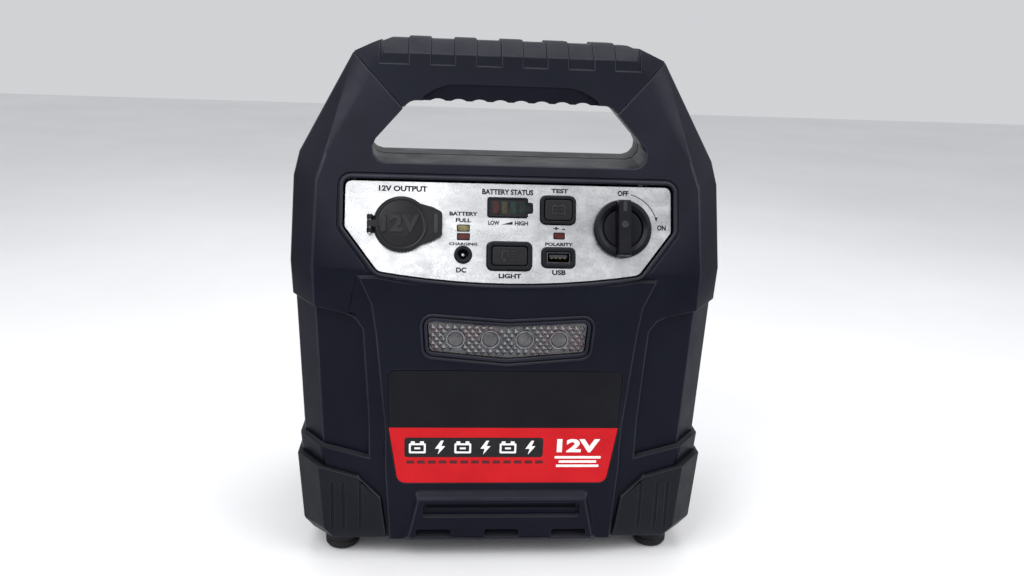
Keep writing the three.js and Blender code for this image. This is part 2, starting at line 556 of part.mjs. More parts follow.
function addPanelPieces() {
  place(panel, 'control_panel', controlPanel(), SILVER);
  place(panel, 'socket_barrel', socketBarrel(), GLOSS_BLACK);
  const { x, u, tubeR, depth } = SOCKET;
  place(panel, 'socket_nut', tube(tubeR + GAP, 17, INSIDE_N - 4, INSIDE_N - GAP, x, u), STEEL);
  place(panel, 'socket_contact', rod(2, -depth - 4, 4 - depth, x, u, 16), BRASS);
  place(panel, 'socket_cap', socketCap(), SOFT);
  place(panel, 'cap_hinge_pin', hingeRod(HINGE.pinR, -HINGE.half, HINGE.half), STEEL);
  place(panel, 'power_knob', powerKnob(), GLOSS_BLACK);
  place(panel, 'switch_shaft', rod(SHAFT.r, -15, SHAFT.top, KNOB.x, KNOB.u, 16), STEEL);
  place(panel, 'switch_body', switchBody(), CASE_GREY);
  place(panel, 'switch_nut', switchNut(), STEEL);
  place(panel, 'test_bezel', bezel(TEST, 3, 1.6), GLOSS_BLACK);
  place(panel, 'test_button', button(TEST, 2), SOFT);
  place(panel, 'light_bezel', bezel(LIGHT, 3, 1.6), GLOSS_BLACK);
  place(panel, 'light_button', button(LIGHT, 2), SOFT);
  place(panel, 'usb_bezel', usbBezel(), GLOSS_BLACK);
  place(panel, 'usb_port', usbPort(), STEEL);
  place(panel, 'dc_jack', dcJack(), GLOSS_BLACK);
  place(panel, 'status_window', slab(outline(STATUS_OUTLINE), GAP - PLATE_T, 0.6), GLOSS_BLACK);
  [LED_RED, LED_AMBER, LED_GREEN, LED_GREEN].forEach((material, i) => {
    place(panel, `status_bar_${i + 1}`, statusBar(i), material);
  });
  Object.entries(INDICATORS).forEach(([name, w]) => {
    const material = name === 'maintain_led' ? LED_AMBER : LED_RED;
    place(panel, name, slab(outline(rectangle(w.x, w.u, w.w, w.h)), -3, 0.2), material);
  });
  const board = block(BOARD.x0, BOARD.x1, BOARD.u0, BOARD.u1, BOARD.front - BOARD.t, BOARD.front);
  place(panel, 'control_board', board, BOARD_GREEN);
  place(panel, 'test_switch', pushSwitch(TEST), CASE_GREY);
  place(panel, 'light_switch', pushSwitch(LIGHT), CASE_GREY);
}

// ---------------------------------------------------------------- work light
const LAMP_XS = [-29, -9.6, 9.6, 29];
const LAMP_Z = 137.7;
function lampReflector() {
  const tray = solid(frontSlab(outline(LENS_OUTLINE, -2), FRONT_Y + 4 + GAP, FRONT_Y + 16));
  const cup = (x) => turned([[0, -13], [3.2, -13], [5.7, 13], [0, 13]])
    .rotateX(Math.PI / 2).translate(x, FRONT_Y + 12, LAMP_Z);
  return cut(tray, ...LAMP_XS.map(cup));
}
function lampLed(x) {
  return turned([[0, 0], [2.4, 0], [2.4, 3], [1.7, 4.6], [0, 5.2]], 0, 0, 16)
    .rotateX(Math.PI / 2).translate(x, FRONT_Y + 16, LAMP_Z);
}

function addLamp() {
  place(pack, 'lamp_lens', frontSlab(outline(LENS_OUTLINE), FRONT_Y + 1, FRONT_Y + 3.7), CLEAR);
  place(pack, 'lamp_reflector', lampReflector(), CLEAR);
  LAMP_XS.forEach((x, i) => place(pack, `lamp_led_${i + 1}`, lampLed(x), LED_WHITE));
  const board = block(-40, 40, FRONT_Y + 16.3, FRONT_Y + 17.9, LAMP_Z - 6, LAMP_Z + 6);
  place(pack, 'lamp_board', board, BOARD_GREEN);
}

// ---------------------------------------------------------------- battery, leads and hardware
function addBattery() {
  const { x, y, z, y0, z0 } = BATTERY;
  const top = z0 + z;
  place(pack, 'battery', block(-x / 2, x / 2, y0, y0 + y, z0, top), CASE_GREY);
  place(pack, 'battery_positive', block(67, 83, y0 + 4, y0 + 18, top + GAP, top + 5), BRASS);
  place(pack, 'battery_negative', block(-83, -67, y0 + 4, y0 + 18, top + GAP, top + 5), BRASS);
  place(pack, 'battery_strap', block(-100, 100, y0 + 34, y0 + 54, top + GAP, top + 2.3), STEEL);
}

function addLeads() {
  const top = BATTERY.z0 + BATTERY.z + 5 + GAP;
  const leadEndX = GLAND.wallX - 13;
  const routes = {
    battery_cable: [[75, -3, top + LEAD_R], [73, -9, top + 5], [67, -14, top + 6], [64, -17.5, 190]],
    switch_lead: [
      [72, -17, 184], [82, -16, 186], [93, -15, 182], [99, 0, 162], [99, 20, 142],
      [leadEndX, GLAND.y, GLAND.z]],
    negative_lead: [
      [-75, -3, top + LEAD_R], [-88, -6, top + 3], [-97, 2, 172], [-99, 20, 142],
      [-leadEndX, GLAND.y, GLAND.z]],
  };
  Object.entries(routes).forEach(([name, points]) => {
    place(pack, name, lead(points, LEAD_R), name === 'negative_lead' ? BLACK_LEAD : RED_LEAD);
  });
  place(pack, 'lead_gland_positive', leadGland(1), RUBBER);
  place(pack, 'lead_gland_negative', leadGland(-1), RUBBER);
}

// A rubber bush in the left (-1) or right (1) side wall.
function leadGland(s) {
  const { boreR, r, wallX, proud } = GLAND;
  return turned([
    [boreR, wallX - 9], [r, wallX - 9], [r, wallX + GAP], [r + 2, wallX + GAP],
    [r + 2, wallX + 1.4], [boreR + 2, wallX + proud], [boreR, wallX + proud], [boreR, wallX - 9]])
    .rotateY(s * Math.PI / 2).translate(0, GLAND.y, GLAND.z);
}

function shellScrew(x, z) {
  return turned([
    [0, -24], [2, -24], [2, 22.3], [3.8, 22.3], [3.8, 24.3], [2.4, 25.3], [0, 25.3]], 0, 0, 16)
    .rotateX(-Math.PI / 2).translate(x, 0, z);
}

function foot(x, y) {
  const { r } = FOOT;
  const top = BODY_BOTTOM - GAP;
  return turned([[0, 0], [r - 1.2, 0], [r, 1.5], [r, top], [0, top]]).translate(x, y, 0);
}

function addHardware() {
  SCREWS.flatMap(([x, z]) => [[x, z], [-x, z]]).forEach(([x, z], i) => {
    place(pack, `shell_screw_${i + 1}`, shellScrew(x, z), STEEL);
  });
  for (const end of ['front', 'rear']) {
    for (const [side, s] of [['left', -1], ['right', 1]]) {
      place(pack, `foot_${end}_${side}`, foot(s * FOOT.x, FOOT[end]), RUBBER);
      const corners = s > 0 ? GUARD_OUTLINE : mirrorX(GUARD_OUTLINE);
      place(pack, `corner_guard_${end}_${side}`, cornerGuard(corners, ...GUARD_SPANS[end]), SOFT);
    }
  }
}

const { front, rear } = shells();
place(pack, 'front_shell', front, PLASTIC);
place(pack, 'rear_shell', rear, PLASTIC);
place(pack, 'handle_grip', handleGrip(), SOFT);
place(pack, 'front_label', frontSlab(outline(LABEL_OUTLINE), FRONT_Y, FRONT_Y + 0.4), LABEL_RED);
addPanelPieces();
addLamp();
addBattery();
addLeads();
addHardware();

export default pack;
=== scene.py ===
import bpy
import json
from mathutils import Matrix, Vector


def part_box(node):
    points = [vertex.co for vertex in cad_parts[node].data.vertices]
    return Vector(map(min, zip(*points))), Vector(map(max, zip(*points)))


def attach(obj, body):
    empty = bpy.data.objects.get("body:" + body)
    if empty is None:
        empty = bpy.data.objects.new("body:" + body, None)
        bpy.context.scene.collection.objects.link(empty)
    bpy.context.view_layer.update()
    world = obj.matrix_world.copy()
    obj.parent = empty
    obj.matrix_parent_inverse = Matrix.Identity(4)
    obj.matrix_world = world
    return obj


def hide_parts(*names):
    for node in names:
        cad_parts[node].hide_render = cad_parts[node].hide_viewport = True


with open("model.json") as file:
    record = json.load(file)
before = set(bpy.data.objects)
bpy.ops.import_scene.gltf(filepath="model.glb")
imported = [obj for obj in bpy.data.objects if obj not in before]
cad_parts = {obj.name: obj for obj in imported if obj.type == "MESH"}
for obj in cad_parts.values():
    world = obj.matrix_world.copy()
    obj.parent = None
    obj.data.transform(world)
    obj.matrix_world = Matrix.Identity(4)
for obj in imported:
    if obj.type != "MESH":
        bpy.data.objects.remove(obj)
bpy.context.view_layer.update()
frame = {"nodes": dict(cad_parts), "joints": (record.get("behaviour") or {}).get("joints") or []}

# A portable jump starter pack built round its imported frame. Outlines are in millimetres on a
# working plane, whose matrix turns them into metres in the row frame.
import json
import math
from contextlib import contextmanager

import bmesh
import bpy
from mathutils import Matrix, Vector

MM = 0.001
SIDES = 96  # sides of a turned piece
PRINT = 0.12  # height of a printed mark
UNDER = -0.02  # printed marks start this far under the face they are on
BOLDER = 0.042  # how much the lettering is thickened, as a share of its height
WELD = 2e-6  # corners closer than this are merged, in metres
FLAT = math.radians(0.6)  # faces within this angle count as one flat face
CRISP = math.radians(38)  # edges bent by more than this stay sharp in the shading
BEND = math.radians(24)  # edges bent by more than this are rounded
MOST_CORNERS = 4  # flat faces with more corners are split before the rounding
SHORT = 0.06  # edges under this share of a rounding's width are merged away
ROOM = 2.1  # an edge is rounded in full if its neighbours are this many widths long
CORNERS = ("front_left", "front_right", "rear_left", "rear_right")
SQUARE = ((-1, -1), (1, -1), (1, 1), (-1, 1))
X, Y, Z = Vector((1, 0, 0)), Vector((0, 1, 0)), Vector((0, 0, 1))


# ---- working planes
def plane(origin, across, up):
    """Matrix from millimetres (across, up, out of the face) on a plane to the row frame."""
    columns = Matrix((across, up, across.cross(up))).transposed().to_4x4()
    return Matrix.Translation(origin) @ columns @ Matrix.Scale(MM, 4)


knob_joint = next(j for j in frame["joints"] if j["name"] == "knob_turn")
panel_up = -Vector(knob_joint["axis"]).cross(X).normalized()
PANEL = plane(Vector(knob_joint["pos_m"]) * Vector((0, 1, 1)), X, panel_up)
FRONT = plane(Vector((0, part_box("front_label")[0].y, 0)), X, Z)
FLOOR = plane(Vector((0, 0, 0)), X, Y)
REAR = plane(Vector((0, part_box("rear_shell")[1].y, 0)), -X, Z)


def extent(points):
    """The lowest and the highest corner of some points."""
    return [Vector([pick(p[i] for p in points) for i in range(3)]) for pick in (min, max)]


class Spot:
    """Where a CAD node sits on a plane, in its millimetres."""

    def __init__(self, node, base):
        inverse = base.inverted()
        self.lo, self.hi = extent([inverse @ v.co for v in frame["nodes"][node].data.vertices])
        self.x, self.u, _ = (self.lo + self.hi) / 2
        self.w, self.h, _ = self.hi - self.lo
        self.bottom, self.top = self.lo.z, self.hi.z


# ---- outlines
def rounded(corners, steps=6):
    """Rounds the corners of a closed polygon given as (x, y, radius)."""
    out = []
    count = len(corners)
    for i, (x, y, r) in enumerate(corners):
        p = Vector((x, y))
        if r == 0:
            out.append(p)
            continue
        a = (Vector(corners[i - 1][:2]) - p).normalized()
        b = (Vector(corners[(i + 1) % count][:2]) - p).normalized()
        half = math.acos(max(-1, min(1, a.dot(b)))) / 2
        first = p + a * (r / math.tan(half))
        centre = p + (a + b).normalized() * (r / math.sin(half))
        sweep = math.copysign(math.pi - 2 * half, -a.cross(b))
        for k in range(steps + 1):
            out.append(centre + Matrix.Rotation(sweep * k / steps, 2) @ (first - centre))
    return out


def rectangle(x, y, w, h, r=0.0, steps=6):
    return rounded([(x + a * w / 2, y + b * h / 2, r) for a, b in SQUARE], steps)


def circle(x, y, r, sides=SIDES):
    turn = 2 * math.pi / sides
    return [Vector((x + r * math.cos(turn * i), y + r * math.sin(turn * i))) for i in range(sides)]


def offset(points, d):
    """Moves every edge of a counter-clockwise outline outwards by d."""
    out = []
    for i, p in enumerate(points):
        before, after = p - points[i - 1], points[(i + 1) % len(points)] - p
        n1 = Vector((before.y, -before.x)).normalized()
        n2 = Vector((after.y, -after.x)).normalized()
        mid = (n1 + n2).normalized()
        out.append(p + mid * (d / max(mid.dot(n1), 0.2)))
    return out


def face_outline(node, base):
    """The outer outline of a CAD node's outermost flat face, counter-clockwise."""
    bm = bmesh.new()
    bm.from_mesh(frame["nodes"][node].data)
    bmesh.ops.remove_doubles(bm, verts=bm.verts, dist=WELD)
    bmesh.ops.transform(bm, matrix=base.inverted(), verts=bm.verts)
    top = max(v.co.z for v in bm.verts)
    face = {f for f in bm.faces if all(abs(v.co.z - top) < 0.05 for v in f.verts)}
    edges = [e for e in bm.edges if sum(f in face for f in e.link_faces) == 1]
    loops = []
    while edges:
        edge = edges.pop()
        loop = [edge.verts[0], edge.verts[1]]
        while True:
            following = next((e for e in loop[-1].link_edges if e in edges), None)
            if following is None:
                break
            edges.remove(following)
            loop.append(following.other_vert(loop[-1]))
        loops.append([v.co.xy.copy() for v in loop[:-1]])
    outer = max(loops, key=lambda ps: max(p.x for p in ps) - min(p.x for p in ps))
    area = sum(a.cross(b) for a, b in zip(outer, outer[1:] + outer[:1]))
    bm.free()
    return outer if area > 0 else outer[::-1]


# ---- meshes
def added(name, data):
    """A new object in the scene."""
    obj = bpy.data.objects.new(name, data)
    bpy.context.scene.collection.objects.link(obj)
    return obj


def evaluated(obj):
    """The mesh of an object with its modifiers applied; the object is removed."""
    graph = bpy.context.evaluated_depsgraph_get()
    mesh = bpy.data.meshes.new_from_object(obj.evaluated_get(graph))
    bpy.data.objects.remove(obj)
    return mesh


@contextmanager
def editing(out, *sources):
    """A bmesh of the sources that is written to a mesh at the end."""
    bm = bmesh.new()
    for mesh in sources:
        bm.from_mesh(mesh)
    yield bm
    bm.to_mesh(out)
    bm.free()


def finished(bm, name, base):
    """The mesh of a bmesh drawn in a plane's millimetres."""
    mesh = bpy.data.meshes.new(name)
    bm.to_mesh(mesh)
    bm.free()
    mesh.transform(base)
    return mesh


def welded(mesh, distance):
    with editing(mesh, mesh) as bm:
        bmesh.ops.remove_doubles(bm, verts=bm.verts, dist=distance)
        bmesh.ops.recalc_face_normals(bm, faces=bm.faces)
    return mesh


def extruded(loops, n0, n1, base, bevel=0.25, steps=2):
    """A plate with holes: closed outlines from n0 to n1 out of the plane, with rounded rims."""
    curve = bpy.data.curves.new("outline", "CURVE")
    curve.dimensions, curve.fill_mode = "2D", "BOTH"
    curve.extrude = (n1 - n0) / 2 - bevel
    curve.bevel_depth, curve.bevel_resolution, curve.offset = bevel, steps, -bevel
    for loop in loops:
        spline = curve.splines.new("POLY")
        spline.points.add(len(loop) - 1)
        for point, p in zip(spline.points, loop):
            point.co = (p[0], p[1], 0, 1)
        spline.use_cyclic_u = True
    mesh = evaluated(added("outline", curve))
    mesh = welded(mesh, 1e-4)
    mesh.transform(base @ Matrix.Translation((0, 0, (n0 + n1) / 2)))
    return mesh


def tile(x, y, w, h, n0, n1, base, corner=0.0, bevel=0.25, steps=2):
    """A plate with a rectangular outline."""
    return extruded([rectangle(x, y, w, h, corner)], n0, n1, base, bevel, steps)


def band(outline, outer, inner, n0, n1, base, bevel=0, steps=2):
    """A closed band between two offsets of an outline."""
    return extruded([offset(outline, outer), offset(outline, inner)], n0, n1, base, bevel, steps)


def lettering(words, x, u, w, h, n0, n1, base):
    """Plain lettering that fills a box w by h centred at (x, u)."""
    curve = bpy.data.curves.new("words", "FONT")
    curve.body, curve.resolution_u = words, 3
    curve.offset, curve.extrude = BOLDER, 0.5
    mesh = welded(evaluated(added("words", curve)), 1e-5)
    lo, hi = extent([v.co for v in mesh.vertices])
    size = hi - lo
    scale = Matrix.Diagonal((w / size.x, h / size.y, (n1 - n0) / size.z, 1))
    middle = Matrix.Translation(-(lo + hi) / 2)
    mesh.transform(base @ Matrix.Translation((x, u, (n0 + n1) / 2)) @ scale @ middle)
    return mesh


def lathe(profile, x, u, base, sides=SIDES):
    """Turns a profile of (radius, n, corner radius) about the plane's outward axis."""
    bm = bmesh.new()
    rings = []
    for r, n in rounded(profile, 4):
        if r < 1e-6:
            rings.append([bm.verts.new((x, u, n))] * sides)
        else:
            rings.append([bm.verts.new((*p, n)) for p in circle(x, u, r, sides)])
    if profile[0][0] > 0:
        rings.append(rings[0])
    for a, b in zip(rings, rings[1:]):
        for k in range(sides):
            corners = [a[k], a[(k + 1) % sides], b[(k + 1) % sides], b[k]]
            unique = list(dict.fromkeys(corners))
            if len(unique) > 2:
                bm.faces.new(unique)
    bmesh.ops.recalc_face_normals(bm, faces=bm.faces)
    return finished(bm, "turned", base)


def hull(points, base):
    bm = bmesh.new()
    for p in points:
        bm.verts.new(p)
    made = bmesh.ops.convex_hull(bm, input=bm.verts)
    inner = [v for v in made["geom_interior"] if isinstance(v, bmesh.types.BMVert)]
    bmesh.ops.delete(bm, geom=inner, context="VERTS")
    bmesh.ops.recalc_face_normals(bm, faces=bm.faces)
    return finished(bm, "hull", base)


def joined(meshes):
    out = bpy.data.meshes.new("joined")
    with editing(out, *meshes):
        pass
    return out


def carved(mesh, cutters):
    """The mesh with each cutter taken out of it."""
    body = added("body", mesh)
    tools = []
    for cutter in cutters:
        tool = added("tool", cutter)
        tools.append(tool)
        step = body.modifiers.new("cut", "BOOLEAN")
        step.operation, step.solver, step.object = "DIFFERENCE", "EXACT", tool
    out = evaluated(body)
    for tool in tools:
        bpy.data.objects.remove(tool)
    return out


def tidied(mesh, shortest=0.02):
    """A copy with split corners, short edges and flat triangles merged, ready for rounding."""
    out = bpy.data.meshes.new("tidied")
    with editing(out, mesh) as bm:
        bmesh.ops.remove_doubles(bm, verts=bm.verts, dist=WELD)
        bmesh.ops.dissolve_degenerate(bm, dist=shortest * MM, edges=bm.edges)
        bmesh.ops.dissolve_limit(bm, angle_limit=FLAT, verts=bm.verts, edges=bm.edges)
        many_sided = [f for f in bm.faces if len(f.verts) > MOST_CORNERS]
        bmesh.ops.triangulate(bm, faces=many_sided, ngon_method="BEAUTY")
    return out


def flattened(mesh):
    """Merges the flat triangles of a mesh, but not across a change of material."""
    with editing(mesh, mesh) as bm:
        bmesh.ops.dissolve_limit(bm, angle_limit=FLAT, verts=bm.verts, edges=bm.edges,
                             delimit={"MATERIAL"})
    return mesh


def cad_copy(node):
    return tidied(frame["nodes"][node].data)


# ---- pieces
def piece(name, parts, replaces=(), body="case", crisp=CRISP):
    """One object from a list of (mesh, material) that rides on a body of the frame."""
    materials = list(dict.fromkeys(material for _, material in parts))
    mesh = bpy.data.meshes.new(name)
    with editing(mesh) as bm:
        for part, material in parts:
            first = len(bm.faces)
            bm.from_mesh(part)
            bm.faces.ensure_lookup_table()
            for face in bm.faces[first:]:
                face.material_index = materials.index(material)
                face.smooth = True
    mesh.set_sharp_from_angle(angle=crisp)
    return placed(name, mesh, materials, replaces, body)


def placed(name, mesh, materials, replaces, body="case"):
    """An object that rides on a body and stands in for the CAD nodes that it replaces."""
    for material in materials:
        mesh.materials.append(material)
    obj = added(name, mesh)
    normals = obj.modifiers.new("normals", "WEIGHTED_NORMAL")
    normals.keep_sharp, normals.weight = True, 80
    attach(obj, body)
    if replaces:
        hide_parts(*replaces)
    return obj


def weighted_edges(mesh, width):
    """Marks the edges to round: fully where there is room, less beside short edges."""
    with editing(mesh, mesh) as bm:
        weight = bm.edges.layers.float.new("bevel_weight_edge")
        for edge in bm.edges:
            if len(edge.link_faces) == 2 and edge.calc_face_angle() > BEND:
                room = min(e.calc_length() for v in edge.verts for e in v.link_edges)
                edge[weight] = min(1, room / (ROOM * width * MM))


def rounded_body(mesh, width, material, rounding_material):
    """The mesh with its edges rounded; the outer roundings take a second material, on the mouldings
    a lighter one for wear and a painted highlight.
    """
    mesh = tidied(mesh, SHORT * width)
    weighted_edges(mesh, width)
    mesh.materials.clear()
    for face in mesh.polygons:
        face.use_smooth = True
        face.material_index = 0
    for entry in (material, rounding_material):
        mesh.materials.append(entry)
    obj = added("body", mesh)
    bevel = obj.modifiers.new("edges", "BEVEL")
    # Material 1 goes on the roundings: on the mouldings a lighter plastic, wear plus a painted edge
    # highlight.
    bevel.width, bevel.segments, bevel.material = width * MM, 3, 1
    bevel.limit_method, bevel.use_clamp_overlap = "WEIGHT", False
    return untinted_grooves(evaluated(obj))


def untinted_grooves(mesh):
    """Gives the roundings of inner corners the body's own material."""
    with editing(mesh, mesh) as bm:
        for face in bm.faces:
            bend = sum(e.calc_face_angle_signed(0) * e.calc_length() for e in face.edges)
            if face.material_index == 1 and bend < 0:
                face.material_index = 0
    return mesh


def softened(name, node, width, material, rounding_material, mesh=None):
    """A CAD node with its edges rounded, shaded smooth across them."""
    body = rounded_body(mesh or cad_copy(node), width, material, rounding_material)
    placed(name, body, [], [node]).modifiers["normals"].keep_sharp = False


# ---- materials
class Shader:
    """A node material on object coordinates. Scales are features per metre."""

    def __init__(self, name, specular=0.5):
        self.material = bpy.data.materials.new(name)
        self.material.use_nodes = True
        self.tree = self.material.node_tree
        self.surface = self.tree.nodes["Principled BSDF"]
        self.coordinates = self.add("TexCoord")
        self.set("Specular IOR Level", specular)

    def add(self, kind, links=(), **values):
        node = self.tree.nodes.new("ShaderNode" + kind)
        for key, value in values.items():
            setattr(node, key, value)
        for socket, source in links:
            self.feed(node.inputs[socket], source)
        return node

    def feed(self, socket, source):
        """Links another node to a socket, or gives it a value."""
        if isinstance(source, bpy.types.NodeSocket):
            self.tree.links.new(source, socket)
        else:
            socket.default_value = source

    def set(self, socket, source):
        self.feed(self.surface.inputs[socket], source)

    def place(self, stretch=(1, 1, 1)):
        links = [("Vector", self.coordinates.outputs["Object"]), ("Scale", stretch)]
        return self.add("Mapping", links).outputs["Vector"]

    def noise(self, scale, detail=2.0, roughness=0.55, stretch=(1, 1, 1)):
        links = [("Vector", self.place(stretch)), ("Scale", scale), ("Detail", detail),
                 ("Roughness", roughness)]
        return self.add("TexNoise", links).outputs["Fac"]

    def cells(self, scale, stretch=(1, 1, 1)):
        links = [("Vector", self.place(stretch)), ("Scale", scale)]
        return self.add("TexVoronoi", links).outputs["Distance"]

    def span(self, source, low, high, to_low, to_high):
        links = [("Value", source), ("From Min", low), ("From Max", high), ("To Min", to_low),
                 ("To Max", to_high)]
        return self.add("MapRange", links).outputs["Result"]

    def ramp(self, source, stops):
        node = self.add("ValToRGB", [("Fac", source)])
        elements = node.color_ramp.elements
        for entry, (position, colour) in zip(elements, (stops[0], stops[-1])):
            entry.position, entry.color = position, (*colour, 1)
        for position, colour in stops[1:-1]:
            elements.new(position).color = (*colour, 1)
        return node.outputs["Color"]

    def colour(self, source, dark, light, high=0.7):
        """Base colour that goes from dark to light with the source."""
        self.set("Base Color", self.ramp(source, [(0.3, dark), (high, light)]))

    def sheen(self, scale, detail, low, high, roughness=0.55):
        """Surface roughness that wanders from low to high with a noise."""
        self.set("Roughness", self.span(self.noise(scale, detail, roughness), 0.3, 0.7, low, high))

    def product(self, a, b):
        return self.add("Math", [(0, a), (1, b)], operation="MULTIPLY").outputs[0]

    def mix(self, factor, a, b):
        links = [("Factor", factor), (6, a), (7, b)]
        return self.add("Mix", links, data_type="RGBA").outputs[2]

    def upward(self):
        """1 on faces that look up, 0 on level sight lines and below."""
        split = self.add("SeparateXYZ", [(0, self.coordinates.outputs["Normal"])])
        return self.span(split.outputs["Z"], 0.15, 1, 0, 1)

    def bump(self, layers):
        """Stacks height layers of (height, depth in millimetres, strength)."""
        normal = None
        for height, depth, strength in layers:
            links = [("Height", height), ("Distance", depth * MM), ("Strength", strength)]
            if normal:
                links.append(("Normal", normal))
            normal = self.add("Bump", links).outputs["Normal"]
        self.set("Normal", normal)


# Grey that faces looking up are mixed towards: dust, and painted light from above.
TOP_DUST_AND_LIGHT = (0.16, 0.16, 0.165, 1)


def moulded(name, dark, light, roughness, grain=0.05, top_dust_and_light_share=0.25, specular=0.13):
    """Moulded plastic with a fine grain, uneven sheen, and faces that look up mixed towards grey:
    partly dust, partly painted light from above.
    """
    s = Shader(name, specular)
    tone = s.ramp(s.noise(26, 5, 0.6), [(0.32, dark), (0.72, light)])
    # Lightens faces that look up: partly dust, partly painted light from above.
    top_dust_and_light = s.product(s.upward(), s.span(s.noise(70, 4, 0.6), 0.3, 0.7, 0.75 * top_dust_and_light_share, top_dust_and_light_share))
    s.set("Base Color", s.mix(top_dust_and_light, tone, TOP_DUST_AND_LIGHT))
    s.sheen(55, 6, roughness - 0.07, roughness + 0.09, 0.65)
    s.set("Specular Tint", (0.78, 0.82, 1, 1))
    s.bump([(s.noise(1500, 2), grain, 0.55), (s.noise(240, 3), 0.06, 0.18)])
    return s.material


def rubbery(name, dark, light, roughness):
    """Soft plastic or rubber with a fine grain."""
    s = Shader(name, 0.24)
    s.colour(s.noise(90, 5, 0.65), dark, light, 0.75)
    s.sheen(140, 4, roughness - 0.06, roughness + 0.1)
    s.bump([(s.noise(1100, 3), 0.045, 0.6)])
    return s.material


def metal(name, dark, light, roughness, stretch=(1, 1, 1)):
    """Bare metal with faint marks; a stretch draws them out along an axis."""
    s = Shader(name)
    brushed = s.noise(700, 3, 0.6, stretch)
    s.colour(brushed, dark, light)
    s.set("Metallic", 1.0)
    s.sheen(120, 4, roughness - 0.06, roughness + 0.08)
    s.bump([(brushed, 0.01, 0.35)])
    return s.material


def silver_plate():
    """Satin aluminium with fine specks, cloudy tone and a faint brushing across."""
    s = Shader("silver_plate")
    cloud = s.ramp(s.noise(38, 6, 0.62), [(0.3, (0.38, 0.385, 0.40)), (0.7, (0.62, 0.625, 0.635))])
    speck = s.span(s.noise(760, 4, 0.8), 0.52, 0.70, 0, 0.42)
    spotted = s.mix(speck, cloud, (0.17, 0.17, 0.185, 1))
    smear = s.span(s.noise(60, 3, 0.6, (0.35, 1, 2.5)), 0.45, 0.75, 0, 0.35)
    s.set("Base Color", s.mix(smear, spotted, (0.80, 0.81, 0.82, 1)))
    s.set("Metallic", 0.85)
    s.sheen(160, 6, 0.20, 0.38, 0.7)
    s.bump([(s.noise(900, 3, 0.6, (0.08, 1, 1)), 0.012, 0.4), (s.noise(300, 4), 0.02, 0.15)])
    return s.material


def label_film():
    """Printed film: a red field up to a level line, and black above it."""
    s = Shader("label_film", 0.12)
    split = s.add("SeparateXYZ", [(0, s.coordinates.outputs["Object"])])
    edge, blur = RED_TOP * MM, 0.05 * MM
    black_part = s.span(split.outputs["Z"], edge - blur, edge + blur, 0, 1)
    tone = s.noise(45, 4, 0.6)
    red = s.ramp(tone, [(0.3, (0.44, 0.005, 0.010)), (0.7, (0.54, 0.009, 0.014))])
    black = s.ramp(tone, [(0.3, (0.0026, 0.0027, 0.0048)), (0.7, (0.0048, 0.0050, 0.0080))])
    s.set("Base Color", s.mix(black_part, red, black))
    s.sheen(90, 6, 0.3, 0.46, 0.7)
    s.bump([(s.noise(420, 3), 0.02, 0.25)])
    return s.material


def ink(name, dark, light, roughness=0.45):
    """Printing ink, or a smooth dark window."""
    s = Shader(name, 0.22)
    s.colour(s.noise(380, 4, 0.7), dark, light, 0.65)
    s.sheen(220, 3, roughness - 0.05, roughness + 0.08)
    s.bump([(s.noise(900, 2), 0.01, 0.3)])
    return s.material


def indicator(name, dark, light):
    """A small coloured lamp window, unlit, with a faint clouding inside."""
    s = Shader(name, 0.3)
    s.colour(s.noise(420, 3, 0.6), dark, light)
    s.sheen(300, 3, 0.18, 0.34)
    s.bump([(s.cells(900), 0.03, 0.3)])
    return s.material


ACRYLIC = 1.49  # refractive index of the lens


def stud_plastic():
    """Clear plastic cut into studs, which looks dark and faintly tinted from outside."""
    s = Shader("lens_studs", 0.8)
    tints = [(0.35, (0.055, 0.075, 0.075)), (0.5, (0.075, 0.07, 0.08)),
             (0.65, (0.105, 0.068, 0.075))]
    s.set("Base Color", s.ramp(s.noise(60, 2), tints))
    s.sheen(260, 3, 0.10, 0.2)
    s.set("Transmission Weight", 0.3)
    s.set("IOR", ACRYLIC)
    return s.material


def clear_plastic():
    """The smooth part of the lens, clear but faintly grey."""
    s = Shader("clear_lens")
    s.colour(s.noise(150, 3), (0.34, 0.33, 0.36), (0.50, 0.49, 0.50))
    s.sheen(260, 3, 0.03, 0.10)
    s.set("Transmission Weight", 0.9)
    s.set("IOR", ACRYLIC)
    return s.material


CASE = moulded("case_moulding", (0.002, 0.0023, 0.006), (0.0036, 0.004, 0.0092), 0.4, 0.05, 0.16)
# Lighter case plastic on the rounded edges: wear, and a painted highlight along them.
CASE_EDGE_WEAR_AND_HIGHLIGHT = moulded("case_edge", (0.0075, 0.008, 0.014), (0.018, 0.0188, 0.027), 0.36, 0.04, 0.1,
                    0.17)
# Lighter case plastic for the panel rim and the lamp frame: a painted highlight along their lips.
CASE_RIM_HIGHLIGHT = moulded("case_rim", (0.009, 0.0095, 0.015), (0.018, 0.019, 0.027), 0.32)
GRIP = moulded("grip_moulding", (0.0024, 0.0027, 0.0058), (0.0042, 0.0046, 0.009), 0.46, 0.07, 0.04)
# Lighter grip plastic on the band edges: wear, and a painted highlight for their lit side walls.
GRIP_EDGE_WEAR_AND_HIGHLIGHT = moulded("grip_edge", (0.0095, 0.01, 0.0155), (0.024, 0.025, 0.032), 0.42, 0.05, 0.06)
GUARD = moulded("guard_moulding", (0.0046, 0.005, 0.0072), (0.0078, 0.0084, 0.0112), 0.5, 0.07, 0.1,
                0.16)
# Lighter guard plastic on the rounded edges: wear, and a painted highlight along them.
GUARD_EDGE_WEAR_AND_HIGHLIGHT = moulded("guard_edge", (0.01, 0.0103, 0.0145), (0.0215, 0.022, 0.0285), 0.46)
BLACK = moulded("black_moulding", (0.002, 0.002, 0.0028), (0.0038, 0.0038, 0.005), 0.3, 0.02, 0.2)
